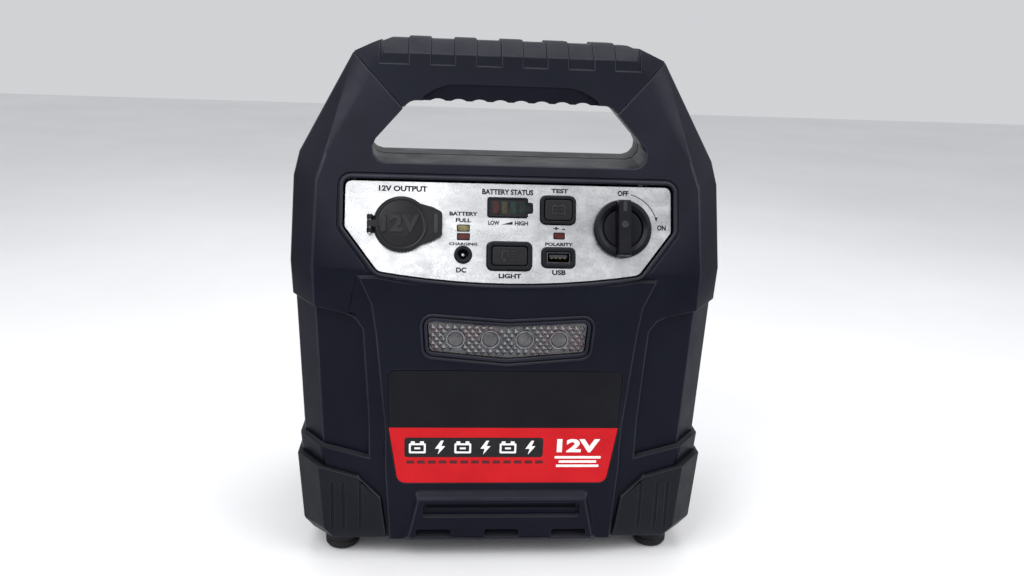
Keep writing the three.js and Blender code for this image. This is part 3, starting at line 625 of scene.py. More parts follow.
# Lighter black for the knob's pointer and dimple: a painted highlight.
BLACK_PAINTED_HIGHLIGHT = moulded("black_edge", (0.016, 0.016, 0.019), (0.034, 0.034, 0.039), 0.28, 0.02, 0.2)
INNER = moulded("inner_moulding", (0.03, 0.03, 0.034), (0.05, 0.05, 0.055), 0.6, 0.05)
BATTERY = moulded("battery_moulding", (0.03, 0.03, 0.034), (0.06, 0.06, 0.066), 0.55, 0.06)
SOFT_BLACK = rubbery("soft_black", (0.003, 0.003, 0.004), (0.0062, 0.0062, 0.0076), 0.36)
# Lighter rubber for the rib on the cap's tab.
SOFT_LIGHTER_RIB = rubbery("soft_edge", (0.016, 0.016, 0.019), (0.032, 0.032, 0.037), 0.34)
SOFT_MARK = rubbery("soft_mark", (0.0085, 0.0085, 0.0105), (0.017, 0.017, 0.02), 0.34)
KEY_RUBBER = rubbery("key_rubber", (0.0042, 0.0042, 0.0054), (0.0078, 0.0078, 0.0094), 0.42)
# Lighter rubber for the raised signs on the keys.
KEY_LIGHTER_SIGNS = rubbery("key_edge", (0.014, 0.014, 0.017), (0.028, 0.028, 0.033), 0.4)
FOOT_RUBBER = rubbery("foot_rubber", (0.005, 0.005, 0.006), (0.01, 0.01, 0.011), 0.62)
LEAD_RED = rubbery("lead_red", (0.3, 0.008, 0.008), (0.42, 0.015, 0.015), 0.4)
LEAD_BLACK = rubbery("lead_black", (0.007, 0.007, 0.008), (0.013, 0.013, 0.014), 0.4)
PLATE = silver_plate()
PLATE_EDGE = metal("plate_edge", (0.55, 0.55, 0.57), (0.8, 0.8, 0.82), 0.3)
STEEL = metal("steel", (0.42, 0.42, 0.43), (0.62, 0.62, 0.63), 0.3, (1, 8, 8))
BRASS = metal("brass", (0.48, 0.33, 0.1), (0.68, 0.48, 0.18), 0.3)
DARK_STEEL = metal("dark_steel", (0.05, 0.05, 0.055), (0.12, 0.12, 0.125), 0.36)
CHROME = metal("chrome", (0.13, 0.125, 0.14), (0.24, 0.23, 0.25), 0.2)
RED_TOP = 84.4  # height where the label's red field ends
LABEL = label_film()
WHITE_INK = ink("white_ink", (0.7, 0.7, 0.7), (0.86, 0.86, 0.86))
BLACK_INK = ink("black_ink", (0.004, 0.004, 0.0052), (0.009, 0.009, 0.011))
DARK_RED_INK = ink("dark_red_ink", (0.06, 0.006, 0.008), (0.1, 0.01, 0.012))
WINDOW = ink("smoked_window", (0.008, 0.008, 0.009), (0.014, 0.014, 0.016), 0.16)
RED_LED = indicator("red_led", (0.034, 0.004, 0.004), (0.08, 0.01, 0.008))
DIM_RED_LED = indicator("dim_red_led", (0.022, 0.003, 0.003), (0.052, 0.006, 0.006))
AMBER_LED = indicator("amber_led", (0.075, 0.07, 0.03), (0.19, 0.17, 0.08))
DIM_AMBER_LED = indicator("dim_amber_led", (0.018, 0.018, 0.008), (0.042, 0.04, 0.018))
GREEN_LED = indicator("green_led", (0.003, 0.013, 0.01), (0.007, 0.028, 0.021))
DIM_GREEN_LED = indicator("dim_green_led", (0.002, 0.007, 0.006), (0.004, 0.015, 0.012))
WHITE_LED = indicator("white_led", (0.62, 0.58, 0.36), (0.85, 0.8, 0.55))
BOARD = indicator("circuit_board", (0.01, 0.085, 0.03), (0.02, 0.13, 0.05))
LENS = clear_plastic()
LENS_STUDS = stud_plastic()
# Lighter ring round each clear eye of the lens: painted highlight arcs.
LENS_RING_HIGHLIGHT = indicator("lens_ring", (0.1, 0.1, 0.115), (0.24, 0.24, 0.27))


# ---- case
plate_outline = face_outline("control_panel", PANEL)
lens_outline = face_outline("lamp_lens", FRONT)
CASE_FACE = 2.0  # the case stands this far out of the panel plate
POCKET = 1.0  # the panel's pocket is this much wider than the plate
SILL = 231.4  # floor of the hand opening
SEAM_GROOVE = 0.7  # width and depth of the groove along the seam in the opening
SEAM_FLARE = 3.1  # the opening is this much wider at the seam than at its front
WITHIN = -4  # cutters round the opening start this far inside its outline
PROUD = 4  # cutters end at least this far out of the face
SLOT = (0, 35.4, 88, 5)  # the bumper's long slot: x, z, width, height
NOTCHES = [(x, 18.5, 18.5, 3.4) for x in (-39.8, 0.3, 39.9)]  # the same, under it
POCKET_DEPTH = 2.2  # the slot and notches are sunk this far behind the pillar's front
CASE_ROUND, GUARD_ROUND, GRIP_ROUND, PLATE_ROUND, LABEL_ROUND = 1.0, 0.9, 1.4, 0.3, 0.12
OPENING = [(-86, SILL, 7.5), (86, SILL, 7.5), (54.9, 264.5, 8), (-54.9, 264.5, 8)]


def opening_on_panel(n):
    """The hand opening's outline where it meets a plane n out of the control panel."""
    inverse = PANEL.inverted()
    level = PANEL @ Vector((0, 0, n))
    out = []
    for p in rounded(OPENING):
        z = p.y * MM
        y = level.y + (z - level.z) * panel_up.y / panel_up.z
        out.append((inverse @ Vector((p.x * MM, y, z))).xy)
    return out


def build_case():
    n = CASE_FACE
    seam_n = (FRONT.inverted() @ Vector((0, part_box("front_shell")[1].y, 0))).z
    cutters = [
        # grooves round the panel, in the hand opening, round the lamp and along the seam
        band(plate_outline, 4.2, 3.1, n - 0.8, n + PROUD, PANEL),
        band(opening_on_panel(n), 0.9, WITHIN, n - 2.7, n - 1.6, PANEL),
        band(lens_outline, 2.9, 2.2, -0.6, 3, FRONT),
        band(rounded(OPENING), SEAM_GROOVE + SEAM_FLARE, WITHIN, seam_n - 0.2, seam_n + SEAM_GROOVE,
             FRONT),
        tile(*SLOT, -POCKET_DEPTH, PROUD, FRONT, 1, 0),
        *(tile(*notch, -POCKET_DEPTH, PROUD, FRONT, 1.2, 0) for notch in NOTCHES)]
    front = carved(cad_copy("front_shell"), cutters)
    softened("front_case", "front_shell", CASE_ROUND, CASE, CASE_EDGE_WEAR_AND_HIGHLIGHT, front)
    softened("rear_case", "rear_shell", CASE_ROUND, CASE, CASE_EDGE_WEAR_AND_HIGHLIGHT)
    # The rim and the lamp frame are lighter: painted highlight.
    rim = band(plate_outline, 2.6, POCKET + 0.1, n - 0.6, n + 0.9, PANEL, 0.5, 3)
    piece("panel_rim", [(rim, CASE_RIM_HIGHLIGHT)])
    outer = band(lens_outline, 4.4, 3.0, -0.4, 0.9, FRONT, 0.45, 3)
    inner = band(lens_outline, 2.0, 0.3, -0.4, 0.8, FRONT, 0.4, 3)
    piece("lamp_frame", [(outer, CASE_RIM_HIGHLIGHT), (inner, CASE_RIM_HIGHLIGHT)])


def build_guards():
    for corner in CORNERS:
        softened(f"guard_{corner}", f"corner_guard_{corner}", GUARD_ROUND, GUARD, GUARD_EDGE_WEAR_AND_HIGHLIGHT)


# ---- grip
SCALLOPS = 8  # finger waves under the grip
SCALLOP_PITCH, SCALLOP_R, SCALLOP_DEPTH = 11.6, 8.0, 1.2
SCOOP = [(-44, 256, 0), (44, 256, 0), (50, 266, 3), (38, 273.6, 28), (-38, 273.6, 28),
         (-50, 266, 3)]
SCOOP_DEPTH = 3.0  # depth along the underside
SCOOP_LIP = 0.7  # step at the scoop's crease


def build_grip():
    under = OPENING[2][1]
    cutters = []
    for i in range(SCALLOPS):
        x = (i - (SCALLOPS - 1) / 2) * SCALLOP_PITCH
        z = under + SCALLOP_DEPTH - SCALLOP_R
        cutters.append(extruded([circle(x, z, SCALLOP_R, 40)], -110, 10, FRONT, 0))
    waves = [joined(cutters[::2]), joined(cutters[1::2])]
    body = rounded_body(cad_copy("handle_grip"), GRIP_ROUND, GRIP, GRIP_EDGE_WEAR_AND_HIGHLIGHT)
    body = flattened(carved(flattened(body), [*waves, scoop_cutter()]))
    body.set_sharp_from_angle(angle=CRISP)
    placed("grip", body, [], ["handle_grip"])


def scoop_cutter():
    """A wedge that thins the lower front of the grip, deepest along the underside."""
    tilt = panel_up.y / panel_up.z
    face = PANEL @ Vector((0, 0, CASE_FACE))
    crease = max(z for _, z, _ in SCOOP)
    points = []
    for x, z in rounded(SCOOP):
        surface = face.y / MM + (z - face.z / MM) * tilt
        sunk = SCOOP_DEPTH * (crease - z) / (crease - OPENING[2][1])
        points += [(x, surface - 6, z), (x, surface + SCOOP_LIP + sunk, z)]
    return hull(points, Matrix.Scale(MM, 4))


# ---- panel fittings
BORE_R, TUBE_R, FLANGE_R = 10.6, 12.6, 15.0  # the 12 V outlet
EAR_R, EAR_AT = 1.6, 3.6  # its hinge ears, this far either side of the middle
CAP_R = 15.3
FOUR = (-1.5, -0.5, 0.5, 1.5)  # places of four things in a row, in pitches from the middle
SEAT = 0.3  # what is mounted on the plate starts this far out of it


def build_plate():
    softened("plate", "control_panel", PLATE_ROUND, PLATE, PLATE_EDGE)


def build_socket():
    barrel, cap = Spot("socket_barrel", PANEL), Spot("socket_cap", PANEL)
    hinge = Spot("cap_hinge_pin", PANEL)
    axis = (hinge.bottom + hinge.top) / 2
    x, u = barrel.hi.x - FLANGE_R, barrel.u
    bottom = barrel.bottom
    tube = lathe([(BORE_R, 1.8, 0.5), (BORE_R, bottom + 2, 0), (3, bottom + 2, 0), (3, bottom, 0),
                  (TUBE_R, bottom, 0), (TUBE_R, SEAT, 0), (FLANGE_R, SEAT, 0.3),
                  (FLANGE_R, 1.8, 0.5)], x, u, PANEL)
    left = x - TUBE_R
    foot = tile((hinge.x + left) / 2, u, left - hinge.x + 3, 9.6, SEAT, 1.4, PANEL, 0.8, 0.3)
    parts = [tube, foot]
    for at in (u - EAR_AT, u + EAR_AT):
        parts += [lathe_across(hinge.x, at, axis, EAR_R, 1.3),
                  tile(hinge.x, at, 2 * EAR_R, 2.6, SEAT, axis, PANEL, 0.2, 0.1)]
    piece("socket", [(m, BLACK) for m in parts], ["socket_barrel"])
    pin = lathe_across(hinge.x, u, axis, 0.8, hinge.h / 2)
    piece("hinge_pin", [(pin, STEEL)], ["cap_hinge_pin"])
    build_cap(x, u, cap, hinge, axis)


def lathe_across(x, u, n, r, half):
    """A short round rod along the panel's height."""
    turn = Matrix.Translation((x, u, n)) @ Matrix.Rotation(math.pi / 2, 4, "X")
    profile = [(0, -half, 0), (r, -half, 0.15), (r, half, 0.15), (0, half, 0)]
    return lathe(profile, 0, 0, PANEL @ turn, 40)


def build_cap(x, u, cap, hinge, axis):
    bottom, top, end = cap.bottom, cap.top, cap.hi.x
    dome = lathe([(0, bottom, 0), (CAP_R, bottom, 0.5), (CAP_R, top - 1.9, 0.9),
                  (CAP_R - 1.6, top - 0.5, 0.5), (CAP_R - 2.6, top - 0.9, 0.3),
                  (CAP_R - 3.4, top - 0.55, 0.4), (7, top - 0.05, 12), (0, top, 0)], x, u, PANEL)
    tab = rounded([(x + 8, u - 12, 0), (end - 6, u - 9.2, 3), (end, u - 6, 2.5),
                   (end, u + 7, 2.5), (end - 5, u + 9.6, 3), (x + 8, u + 12, 0)])
    rib = rounded([(end - 4.6, u - 5.6, 0.8), (end - 2.4, u - 4.4, 0.8),
                   (end - 2.4, u + 5.4, 0.8), (end - 4.6, u + 6.6, 0.8)])
    web = tile((hinge.x + x - 12) / 2, u, x - 12 - hinge.x, 3.8, bottom + 0.3, axis + 1.2,
               PANEL, 0.3, 0.3)
    knuckle = lathe_across(hinge.x, u, axis, 1.5, 1.9)
    parts = [(m, SOFT_BLACK)
             for m in (dome, extruded([tab], bottom, bottom + 2.1, PANEL, 0.6, 3), web, knuckle)]
    parts.append((extruded([rib], bottom + 1.5, bottom + 2.7, PANEL, 0.4, 3), SOFT_LIGHTER_RIB))
    digits = lettering("12V", x - 0.4, u + 0.2, 20.5, 9.6, top - 0.9, top + 0.7, PANEL)
    piece("cap", [*parts, (digits, SOFT_MARK)], ["socket_cap"], "cap")


def build_knob():
    knob = Spot("power_knob", PANEL)
    x, u, r, bottom, top = knob.x, knob.u, knob.w / 2, knob.bottom, knob.top
    ring = lathe([(r - 6.7, bottom, 0), (r, bottom, 0.4), (r, 2.9, 0.5), (r - 0.6, 4.1, 0.5),
                  (r - 2.6, 4.3, 0.7), (r - 4.9, 3.4, 0.4), (r - 5.2, 1.6, 0.2), (r - 6.7, 1.6, 0)],
                 x, u, PANEL, 128)
    disc = lathe([(3.4, 1.2, 0), (r - 5.7, 1.2, 0), (r - 5.7, 2.9, 0.4), (3.4, 3.1, 0)], x, u,
                 PANEL)
    half = r - 0.5
    levels = ((4.3, half - 0.9, 2.4), (4.15, half, 4.6), (3.5, half - 0.6, top - 0.4),
              (3.0, half - 1.4, top))      # half width, half length and height of the finger bar
    grip = hull([(x + a * w, u + b * h, n) for w, h, n in levels for a, b in SQUARE], PANEL)
    pointer = tile(x, u + half - 4.4, 2.2, 5.4, top - 0.3, top + 0.3, PANEL, 0.7, 0.2)
    dimple = lathe([(0, top - 0.2, 0), (1.9, top - 0.2, 0), (1.9, top + 0.25, 0.2),
                    (1.3, top + 0.25, 0.2), (1.2, top + 0.02, 0), (0, top + 0.02, 0)],
                   x, u + 1.6, PANEL, 48)
    parts = [(m, BLACK) for m in (ring, disc, rounded_solid(grip, 0.9))]
    # The pointer and the dimple are lighter: painted highlight.
    parts += [(m, BLACK_PAINTED_HIGHLIGHT) for m in (pointer, dimple)]
    piece("knob", parts, ["power_knob"], "knob")


def rounded_solid(mesh, width):
    """A convex solid with all its edges rounded."""
    obj = added("solid", mesh)
    bevel = obj.modifiers.new("edges", "BEVEL")
    bevel.width, bevel.segments = width * MM, 3
    bevel.limit_method, bevel.angle_limit = "ANGLE", math.radians(12)
    return evaluated(obj)


def build_bezel(name, radius, rim):
    """A raised frame round a key or a port."""
    s = Spot(f"{name}_bezel", PANEL)
    outer = rectangle(s.x, s.u, s.w, s.h, radius)
    inner = rectangle(s.x, s.u, s.w - 2 * rim, s.h - 2 * rim, max(radius - rim * 0.6, 0.6))
    ring = extruded([outer, inner], s.bottom, s.top, PANEL, 0.5, 3)
    piece(f"{name}_frame", [(ring, BLACK)], [f"{name}_bezel"])


def build_buttons():
    for name, rim, icon in (("test", 1.9, battery_icon), ("light", 2.4, lamp_icon)):
        build_bezel(name, 3, rim)
        key = Spot(f"{name}_button", PANEL)
        cap = tile(key.x, key.u, key.w, key.h, key.bottom, key.top, PANEL, 1.7, 0.7, 4)
        parts = [(cap, KEY_RUBBER)] + [(m, KEY_LIGHTER_SIGNS) for m in icon(key.x, key.u, key.top)]
        piece(f"{name}_key_cap", parts, [f"{name}_button"], f"{name}_key")


def stroke(points, width):
    """A closed outline round a line of points."""
    left, right = [], []
    for i, p in enumerate(points):
        before = Vector(points[max(i - 1, 0)])
        after = Vector(points[min(i + 1, len(points) - 1)])
        along = (after - before).normalized()
        side = Vector((-along.y, along.x)) * width / 2
        left.append(Vector(p) + side)
        right.append(Vector(p) - side)
    return right + left[::-1]


def raised(loops, top):
    """A sign that stands off a key."""
    return extruded(loops, top - 0.2, top + 0.4, PANEL, 0.1, 1)


def battery_icon(x, u, top):
    """A battery outline with two terminals and its plus and minus."""
    w, h, u = 7.6, 4.8, u - 0.3
    marks = [[rectangle(x, u, w, h, 0.4), rectangle(x, u, w - 1.3, h - 1.3, 0.2)]]
    marks += [[rectangle(x + s * w * 0.28, u + h / 2 + 0.45, 1.5, 0.9, 0.1)] for s in (-1, 1)]
    marks += [[rectangle(x + s * w * 0.24, u + 0.1, across, up)]
              for s, across, up in ((-1, 1.7, 0.45), (1, 1.7, 0.45), (1, 0.45, 1.7))]
    return [raised(m, top) for m in marks]


def lamp_icon(x, u, top):
    """A lamp with four rays."""
    head = rounded([(x + a, u + b, r) for a, b, r in (
        (-4.4, -2.6, 0.6), (-1.6, -2.6, 0.4), (-0.4, -1, 0.3), (-0.4, 1, 0.3), (-1.6, 2.6, 0.4),
        (-4.4, 2.6, 0.6))])
    marks = [[head, offset(head, -0.55)]]
    marks += [[rectangle(x + 2.6, u + k * 1.5, 3.4, 0.5, 0.1)] for k in FOUR]
    return [raised(m, top) for m in marks]


def build_ports():
    build_bezel("usb", 2.5, 2.2)
    port = Spot("usb_port", PANEL)
    x, u, w, h, bottom = port.x, port.u, port.w, port.h, port.bottom
    walls = [rectangle(x, u, w, h, 0.6), rectangle(x, u, w - 1.2, h - 1.2, 0.4)]
    shell = extruded(walls, bottom + 1.5, port.top, PANEL, 0.15)
    back = tile(x, u, w - 0.6, h - 0.6, bottom, bottom + 2, PANEL, 0.4, 0.2)
    tongue = tile(x, u + 0.9, w - 3.2, 1.9, bottom + 1, -1.2, PANEL, 0.3, 0.15)
    contacts = [tile(x + k * 2.4, u - 0.15, 1.1, 0.25, bottom + 2, -1.6, PANEL, 0, 0.05)
                for k in FOUR]
    piece("usb_shell", [(shell, DARK_STEEL), (back, BLACK)], ["usb_port"])
    piece("usb_tongue", [(tongue, INNER)])
    piece("usb_contacts", [(c, BRASS) for c in contacts])

    jack = Spot("dc_jack", PANEL)
    r, x, u, bottom, top = jack.w / 2, jack.x, jack.u, jack.bottom, jack.top
    body = lathe([(r - 2.2, top, 0.5), (r - 2.2, bottom + 3, 0), (1.2, bottom + 3, 0),
                  (1.2, bottom, 0), (r - 1, bottom, 0.4), (r - 1, 0.2, 0), (r, 0.2, 0.2),
                  (r, top, 0.6)], x, u, PANEL)
    pin = lathe([(0, bottom + 2, 0), (1, bottom + 2, 0), (1, -1, 0.5), (0, -1, 0)], x, u, PANEL, 48)
    piece("jack", [(body, BLACK)], ["dc_jack"])
    piece("jack_pin", [(pin, STEEL)])


def build_status():
    glass = face_outline("status_window", PANEL)
    window = Spot("status_window", PANEL)
    pane = extruded([offset(glass, -0.4)], window.bottom, window.top - 0.25, PANEL, 0.1)
    rim = band(glass, 0, -0.9, window.bottom, window.top + 0.25, PANEL, 0.3, 3)
    piece("status_glass", [(pane, WINDOW), (rim, BLACK)],
          ["status_window"])
    lights = ((DIM_RED_LED, "led_red"), (DIM_AMBER_LED, "led_amber"), (GREEN_LED, "led_green"),
              (DIM_GREEN_LED, "led_green"))
    for i, (material, slot) in enumerate(lights, 1):
        s = Spot(f"status_bar_{i}", PANEL)
        light = tile(s.x, s.u, s.w + 0.4, s.h + 0.4, s.bottom, window.top - 0.13, PANEL, 0.3, 0.1)
        piece(f"status_light_{i}", [(light, material)], [f"status_bar_{i}"])
    indicators = (("maintain_led", AMBER_LED, "led_green"), ("charge_led", RED_LED, "led_red"),
                  ("reverse_led", RED_LED, "led_red"))
    for node, material, slot in indicators:
        s = Spot(node, PANEL)
        edge = rectangle(s.x, s.u, s.w, s.h, 0.35)
        lamp = extruded([edge], s.bottom, s.top + 0.15, PANEL, 0.2, 3)
        outer = rectangle(s.x, s.u, s.w + 1.1, s.h + 1.1, 0.7)
        surround = extruded([outer, edge], -0.2, 0.12, PANEL, 0.05)
        piece(node + "_lamp", [(lamp, material), (surround, BLACK)], [node])


# ---- printing on the panel and the label
def arc(x, u, r, start, end, steps=24):
    """Points of an arc; angles in degrees from the panel's up direction, clockwise."""
    out = []
    for i in range(steps + 1):
        a = math.radians(start + (end - start) * i / steps)
        out.append((x + r * math.sin(a), u + r * math.cos(a)))
    return out


def panel_u(z):
    """Distance up the panel of a height in millimetres."""
    return (z * MM - (PANEL @ Vector((0, 0, 0))).z) / panel_up.z / MM


# Each word with the x and z of its middle, its width and its height.
WORDS = [
    ("12V OUTPUT", -58.9, 218, 26.5, 3.2), ("BATTERY STATUS", -1.4, 217.4, 28.4, 3.1),
    ("TEST", 27.5, 218.6, 9.5, 2.4), ("OFF", 63.1, 218.1, 6.2, 3),
    ("ON", 84.9, 200.3, 4.9, 3), ("LOW", -9, 201.2, 6.2, 2.4), ("HIGH", 6.3, 201.2, 7.4, 2.4),
    ("USB", 27.3, 175.9, 7.6, 2.8), ("DC", -26.6, 176.4, 5.6, 2.9),
    ("LIGHT", 0.2, 173.7, 12.5, 2.6),
    ("BATTERY", -25.7, 205.6, 15.5, 2.2), ("FULL", -25.7, 202.2, 8.4, 2.2),
    ("CHARGING", -25.7, 189.9, 15.5, 1.6), ("+ -", 27.3, 198.9, 6.4, 1.7),
    ("POLARITY", 27.3, 190.6, 15.5, 1.9),
]
WEDGE = [(-4.6, 200.4), (1.4, 200.4), (1.4, 202.0)]  # the mark between LOW and HIGH
SWING_R = 20.2  # the arrow from OFF to ON, about the knob's axis


def build_panel_printing():
    marks = [lettering(text, x, panel_u(z), w, height, UNDER, PRINT, PANEL)
             for text, x, z, w, height in WORDS]
    knob = Spot("power_knob", PANEL)
    swing = stroke(arc(knob.x, knob.u, SWING_R, 14, 70), 0.4)
    x, u = arc(knob.x, knob.u, SWING_R, 74, 74, 1)[0]
    arrow = [Vector((x, u - 1.0)), Vector((x + 0.9, u + 1.6)), Vector((x - 0.9, u + 1.4))]
    wedge = [Vector((x, panel_u(z))) for x, z in WEDGE]
    marks += [extruded([loop], UNDER, PRINT, PANEL, 0) for loop in (wedge, swing, arrow)]
    piece("panel_printing", [(m, BLACK_INK) for m in marks])


BOLT = [(0.6, 6), (-4, -1), (-0.6, -1), (-1.8, -6), (4, 1.2), (0.8, 1.2), (2.8, 6)]
BOLT_SCALE = 0.72
SIGNS = (-17.0, 72.2, 79.6, 12.2)  # field of the signs: x, z, width, height
SIGN_PITCH = 13
DASHES, DASH_START, DASH_PITCH, DASH_Z = 13, -53.5, 6.2, 63.0
SIDE_X = 43.4  # middle of the number and the bars at the right
BARS = ((66.0, 27), (63.3, 22), (60.6, 25))  # z and width of each
FIELD_UNDER = -0.05  # printed fields start this far under the label's face


def battery_sign(x, z):
    """A battery outline with two terminals and a bar inside."""
    body = [rectangle(x, z - 0.5, 9.6, 6.2, 0.7), rectangle(x, z - 0.5, 7.4, 4.0, 0.4)]
    boxes = [(x - 2.6, z + 3.2, 2.2, 1.3), (x + 2.6, z + 3.2, 2.2, 1.3), (x, z - 0.5, 3.4, 1.1)]
    return [extruded(body, 0, 2 * PRINT, FRONT, 0)] + [
        tile(*box, 0, 2 * PRINT, FRONT, 0.1, 0) for box in boxes]


def bolt_sign(x, z):
    loop = [Vector((a * BOLT_SCALE + x, b * BOLT_SCALE + z)) for a, b in BOLT]
    return [extruded([loop], 0, 2 * PRINT, FRONT, 0)]


def build_label():
    softened("label", "front_label", LABEL_ROUND, LABEL, LABEL)
    ground = tile(*SIGNS, FIELD_UNDER, PRINT, FRONT, 1.6, 0)
    strip = [tile(DASH_START + DASH_PITCH * k, DASH_Z, 4.4, 1.9, FIELD_UNDER, PRINT, FRONT, 0.3, 0)
             for k in range(DASHES)]
    marks = []
    for i, sign in enumerate((battery_sign, bolt_sign) * 3):
        marks += sign(SIGNS[0] + (i - 2.5) * SIGN_PITCH, SIGNS[1])
    marks.append(lettering("12V", SIDE_X, 73.4, 25, 8.4, UNDER, PRINT, FRONT))
    marks += [tile(SIDE_X, z, w, 1.5, FIELD_UNDER, PRINT, FRONT, 0.3, 0) for z, w in BARS]
    piece("label_ground", [(ground, BLACK_INK)])
    piece("label_strip", [(m, DARK_RED_INK) for m in strip])
    piece("label_marks", [(m, WHITE_INK) for m in marks])


# ---- work light
STUD_PITCH, STUD_ROW, STUD_RISE = 4.0, 2.3, 1.1
EYE_R = 4.6  # clear round lens in front of each lamp
EYE_SPACE = 1.2  # the studs keep this far from it
LENS_EDGE = 1.6  # and this far from the edge of the lens
STUD_CRISP = math.radians(20)


def inside(point, outline):
    """True if a point lies within an outline."""
    hits = 0
    for a, b in zip(outline, outline[1:] + outline[:1]):
        if (a.y > point.y) != (b.y > point.y):
            hits += point.x < a.x + (point.y - a.y) * (b.x - a.x) / (b.y - a.y)
    return hits % 2 == 1


def build_lamp():
    lens = Spot("lamp_lens", FRONT)
    top = lens.top
    leds = [Spot(f"lamp_led_{i}", FRONT) for i in range(1, 5)]
    sheet = extruded([offset(lens_outline, -0.1)], lens.bottom, top, FRONT, 0.3)
    eye = [(0, top - 0.1, 0), (EYE_R, top - 0.1, 0), (EYE_R - 0.6, top + 0.4, 0.2),
           (1.6, top + 1, 3), (0, top + 1.1, 0)]
    ring = [(EYE_R, top - 0.1, 0), (EYE_R + 0.5, top - 0.1, 0), (EYE_R + 0.5, top + 1.1, 0.2),
            (EYE_R, top + 1.1, 0.2)]
    eyes, rings = ([lathe(profile, led.x, led.u, FRONT, 64) for led in leds]
                   for profile in (eye, ring))
    parts = [(sheet, LENS), *((m, LENS) for m in eyes), (lens_studs(lens, leds), LENS_STUDS)]
    # The rings are lighter: painted highlight arcs round the eyes.
    parts += [(m, LENS_RING_HIGHLIGHT) for m in rings]
    piece("lens", parts, ["lamp_lens"], crisp=STUD_CRISP)
    softened("reflector", "lamp_reflector", PLATE_ROUND, CHROME, CHROME)
    for i, led in enumerate(leds, 1):
        r, bottom, top = led.w / 2, led.bottom, led.top
        dome = lathe([(0, bottom, 0), (r, bottom, 0.2), (r, bottom + 2.6, 0.3),
                      (r * 0.85, top - 1.6, 1.0), (r * 0.5, top - 0.3, 0.8), (0, top, 0)],
                     led.x, led.u, FRONT, 48)
        piece(f"led_{i}", [(dome, WHITE_LED)], [f"lamp_led_{i}"])


def lens_studs(lens, leds):
    """Rows of low pyramids all over the lens, except where the round eyes are."""
    bm = bmesh.new()
    keep = offset(lens_outline, -LENS_EDGE)
    rows = int(lens.h / STUD_ROW) + 1
    columns = int(lens.w / STUD_PITCH) + 1
    for row in range(-rows, rows):
        for column in range(-columns, columns):
            x = lens.x + (column + 0.5 * (row % 2)) * STUD_PITCH
            z = lens.u + row * STUD_ROW
            clear = all(math.hypot(x - led.x, z - led.u) > EYE_R + EYE_SPACE for led in leds)
            if clear and inside(Vector((x, z)), keep):
                stud(bm, x, z, lens.top)
    return finished(bm, "studs", FRONT)


def stud(bm, x, z, n):
    """A low four-sided pyramid standing on its corner."""
    w, h, foot = STUD_PITCH * 0.49, STUD_ROW * 0.98, n - 0.05
    base = [bm.verts.new(p)
            for p in ((x - w, z, foot), (x, z - h, foot), (x + w, z, foot), (x, z + h, foot))]
    tip = bm.verts.new((x, z, n + STUD_RISE))
    for a, b in zip(base, base[1:] + base[:1]):
        bm.faces.new((a, b, tip))
    bm.faces.new(base[::-1])


# ---- feet, glands, screws and what is inside
def build_feet():
    for corner in CORNERS:
        node = f"foot_{corner}"
        s = Spot(node, FLOOR)
        r, top = s.w / 2, s.top
        profile = [(0, 0, 0), (r - 2.2, 0, 0.6), (r - 0.9, 0.9, 0.6), (r, 2.2, 0.8), (r, 4.6, 0.3),
                   (r - 0.7, 5.2, 0.3), (r - 0.7, 5.9, 0.3), (r, 6.5, 0.3), (r, top, 0.3),
                   (0, top, 0)]
        pad = lathe(profile, s.x, s.u, FLOOR)
        piece(node + "_pad", [(pad, FOOT_RUBBER)], [node])


def build_glands():
    bore = 4.5
    for name, side in (("positive", 1), ("negative", -1)):
        node = f"lead_gland_{name}"
        base = plane(Vector((0, 0, 0)), side * Y, Z)
        s = Spot(node, base)
        r, bottom, wall, top = s.w / 2, s.bottom, s.top - 2.8, s.top
        profile = [(bore, bottom, 0.3), (r - 2, bottom, 0.5), (r - 2, wall, 0), (r, wall, 0.2),
                   (r, wall + 1.2, 0.5), (r - 2.4, wall + 1.5, 0.5), (r - 3.4, top, 0.4),
                   (bore, top, 0.4)]
        bush = lathe(profile, s.x, s.u, base)
        piece(node + "_bush", [(bush, FOOT_RUBBER)], [node])


def build_screws():
    shank, head, slot = 2, 3.8, (4.4, 1.0)
    for i in range(1, 5):
        node = f"shell_screw_{i}"
        s = Spot(node, REAR)
        bottom, top = s.bottom, s.top
        body = lathe([(0, bottom, 0), (shank, bottom, 0.6), (shank, top - 3, 0.2),
                      (head, top - 3, 0.3), (head, top - 1.2, 0.4), (2.4, top - 0.1, 1),
                      (0, top, 0)], s.x, s.u, REAR, 64)
        cross = [tile(s.x, s.u, w, h, top - 1.6, top + 2, REAR, 0.2, 0)
                 for w, h in (slot, slot[::-1])]
        piece(f"screw_{i}", [(carved(body, cross), STEEL)], [node])


def finish_cad_nodes():
    """Gives the CAD nodes that stay as they are their material."""
    finishes = {
        STEEL: ("socket_nut", "switch_shaft", "switch_nut", "battery_strap"),
        BRASS: ("socket_contact", "battery_positive", "battery_negative"),
        INNER: ("switch_body", "test_switch", "light_switch"),
        BOARD: ("control_board", "lamp_board"), BATTERY: ("battery",),
        LEAD_RED: ("battery_cable", "switch_lead"), LEAD_BLACK: ("negative_lead",)}
    for material, nodes in finishes.items():
        for node in nodes:
            for entry in frame["nodes"][node].material_slots:
                entry.link, entry.material = "OBJECT", material


for build in (build_case, build_guards, build_grip, build_plate, build_socket, build_knob,
              build_buttons, build_ports, build_status, build_panel_printing, build_label,
              build_lamp, build_feet, build_glands, build_screws, finish_cad_nodes):
    build()


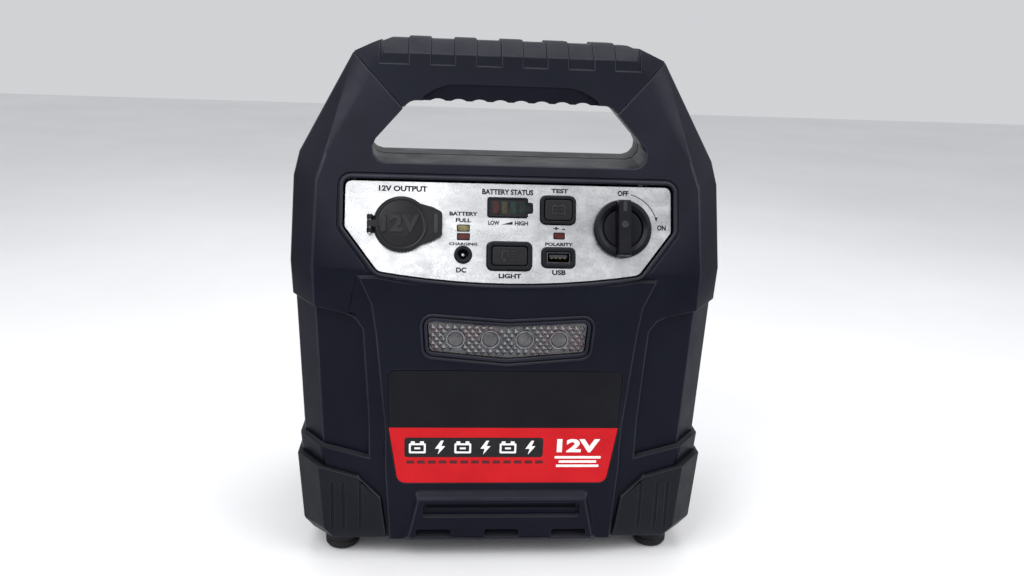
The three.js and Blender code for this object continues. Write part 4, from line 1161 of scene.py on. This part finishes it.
# ---- floor, light and camera
FLOOR_HALF = 3.0
MIDDLE = (0, 0, 0.15)  # what the lights point at
CAMERA_AT = (-0.0395, -0.555, 0.3059)
CAMERA_TURN = (4.83, 15.9, 2.19)  # degrees to the right, down and rolled
FOCAL, SENSOR = 32.34, 36


def pale_floor():
    s = Shader("pale_floor")
    s.colour(s.noise(3, 4), (0.78, 0.78, 0.79), (0.84, 0.84, 0.85))
    s.sheen(30, 3, 0.5, 0.62)
    return s.material


def add_floor():
    mesh = bpy.data.meshes.new("floor")
    corners = [(a * FLOOR_HALF, b * FLOOR_HALF, 0) for a, b in SQUARE]
    mesh.from_pydata(corners, [], [(0, 1, 2, 3)])
    mesh.materials.append(pale_floor())
    floor = added("floor", mesh)


def add_light(name, position, target, energy, width, height):
    data = bpy.data.lights.new(name, "AREA")
    data.shape, data.energy = "RECTANGLE", energy
    data.size, data.size_y = width, height
    lamp = added(name, data)
    lamp.location = position
    lamp.rotation_euler = (Vector(target) - Vector(position)).to_track_quat("-Z", "Y").to_euler()


def add_world():
    world = bpy.data.worlds.new("studio")
    bpy.context.scene.world = world
    world.use_nodes = True
    background = world.node_tree.nodes["Background"]
    background.inputs["Color"].default_value = (0.75, 0.76, 0.78, 1)
    background.inputs["Strength"].default_value = 0.85
    # Plain display colours, so that the label's red and the dark plastics stay true.
    bpy.context.scene.view_settings.view_transform = "Standard"


def add_camera():
    camera = added("camera", bpy.data.cameras.new("camera"))
    bpy.context.scene.camera = camera
    yaw, pitch, roll = map(math.radians, CAMERA_TURN)
    level = Vector((math.sin(yaw), math.cos(yaw), 0))
    forward = level * math.cos(pitch) - Z * math.sin(pitch)
    right = Vector((math.cos(yaw), -math.sin(yaw), 0))
    up = right.cross(forward)
    turned_right = math.cos(roll) * right + math.sin(roll) * up
    turned_up = math.cos(roll) * up - math.sin(roll) * right
    axes = Matrix((turned_right, turned_up, -forward)).transposed().to_4x4()
    camera.matrix_world = Matrix.Translation(CAMERA_AT) @ axes
    camera.data.lens, camera.data.sensor_width = FOCAL, SENSOR
    camera.data.clip_start = 0.01


add_floor()
add_light("key", (-0.5, -0.6, 0.9), MIDDLE, 6.5, 0.6, 0.6)
add_light("fill", (0.7, -0.5, 0.7), MIDDLE, 4.5, 0.6, 0.6)
add_light("top", (0, 0.2, 1.1), MIDDLE, 6, 0.8, 0.8)
add_light("glare", (-0.12, -1.7, 1.0), (0, 0, 0.2), 2.2, 0.14, 0.9)
add_world()
add_camera()
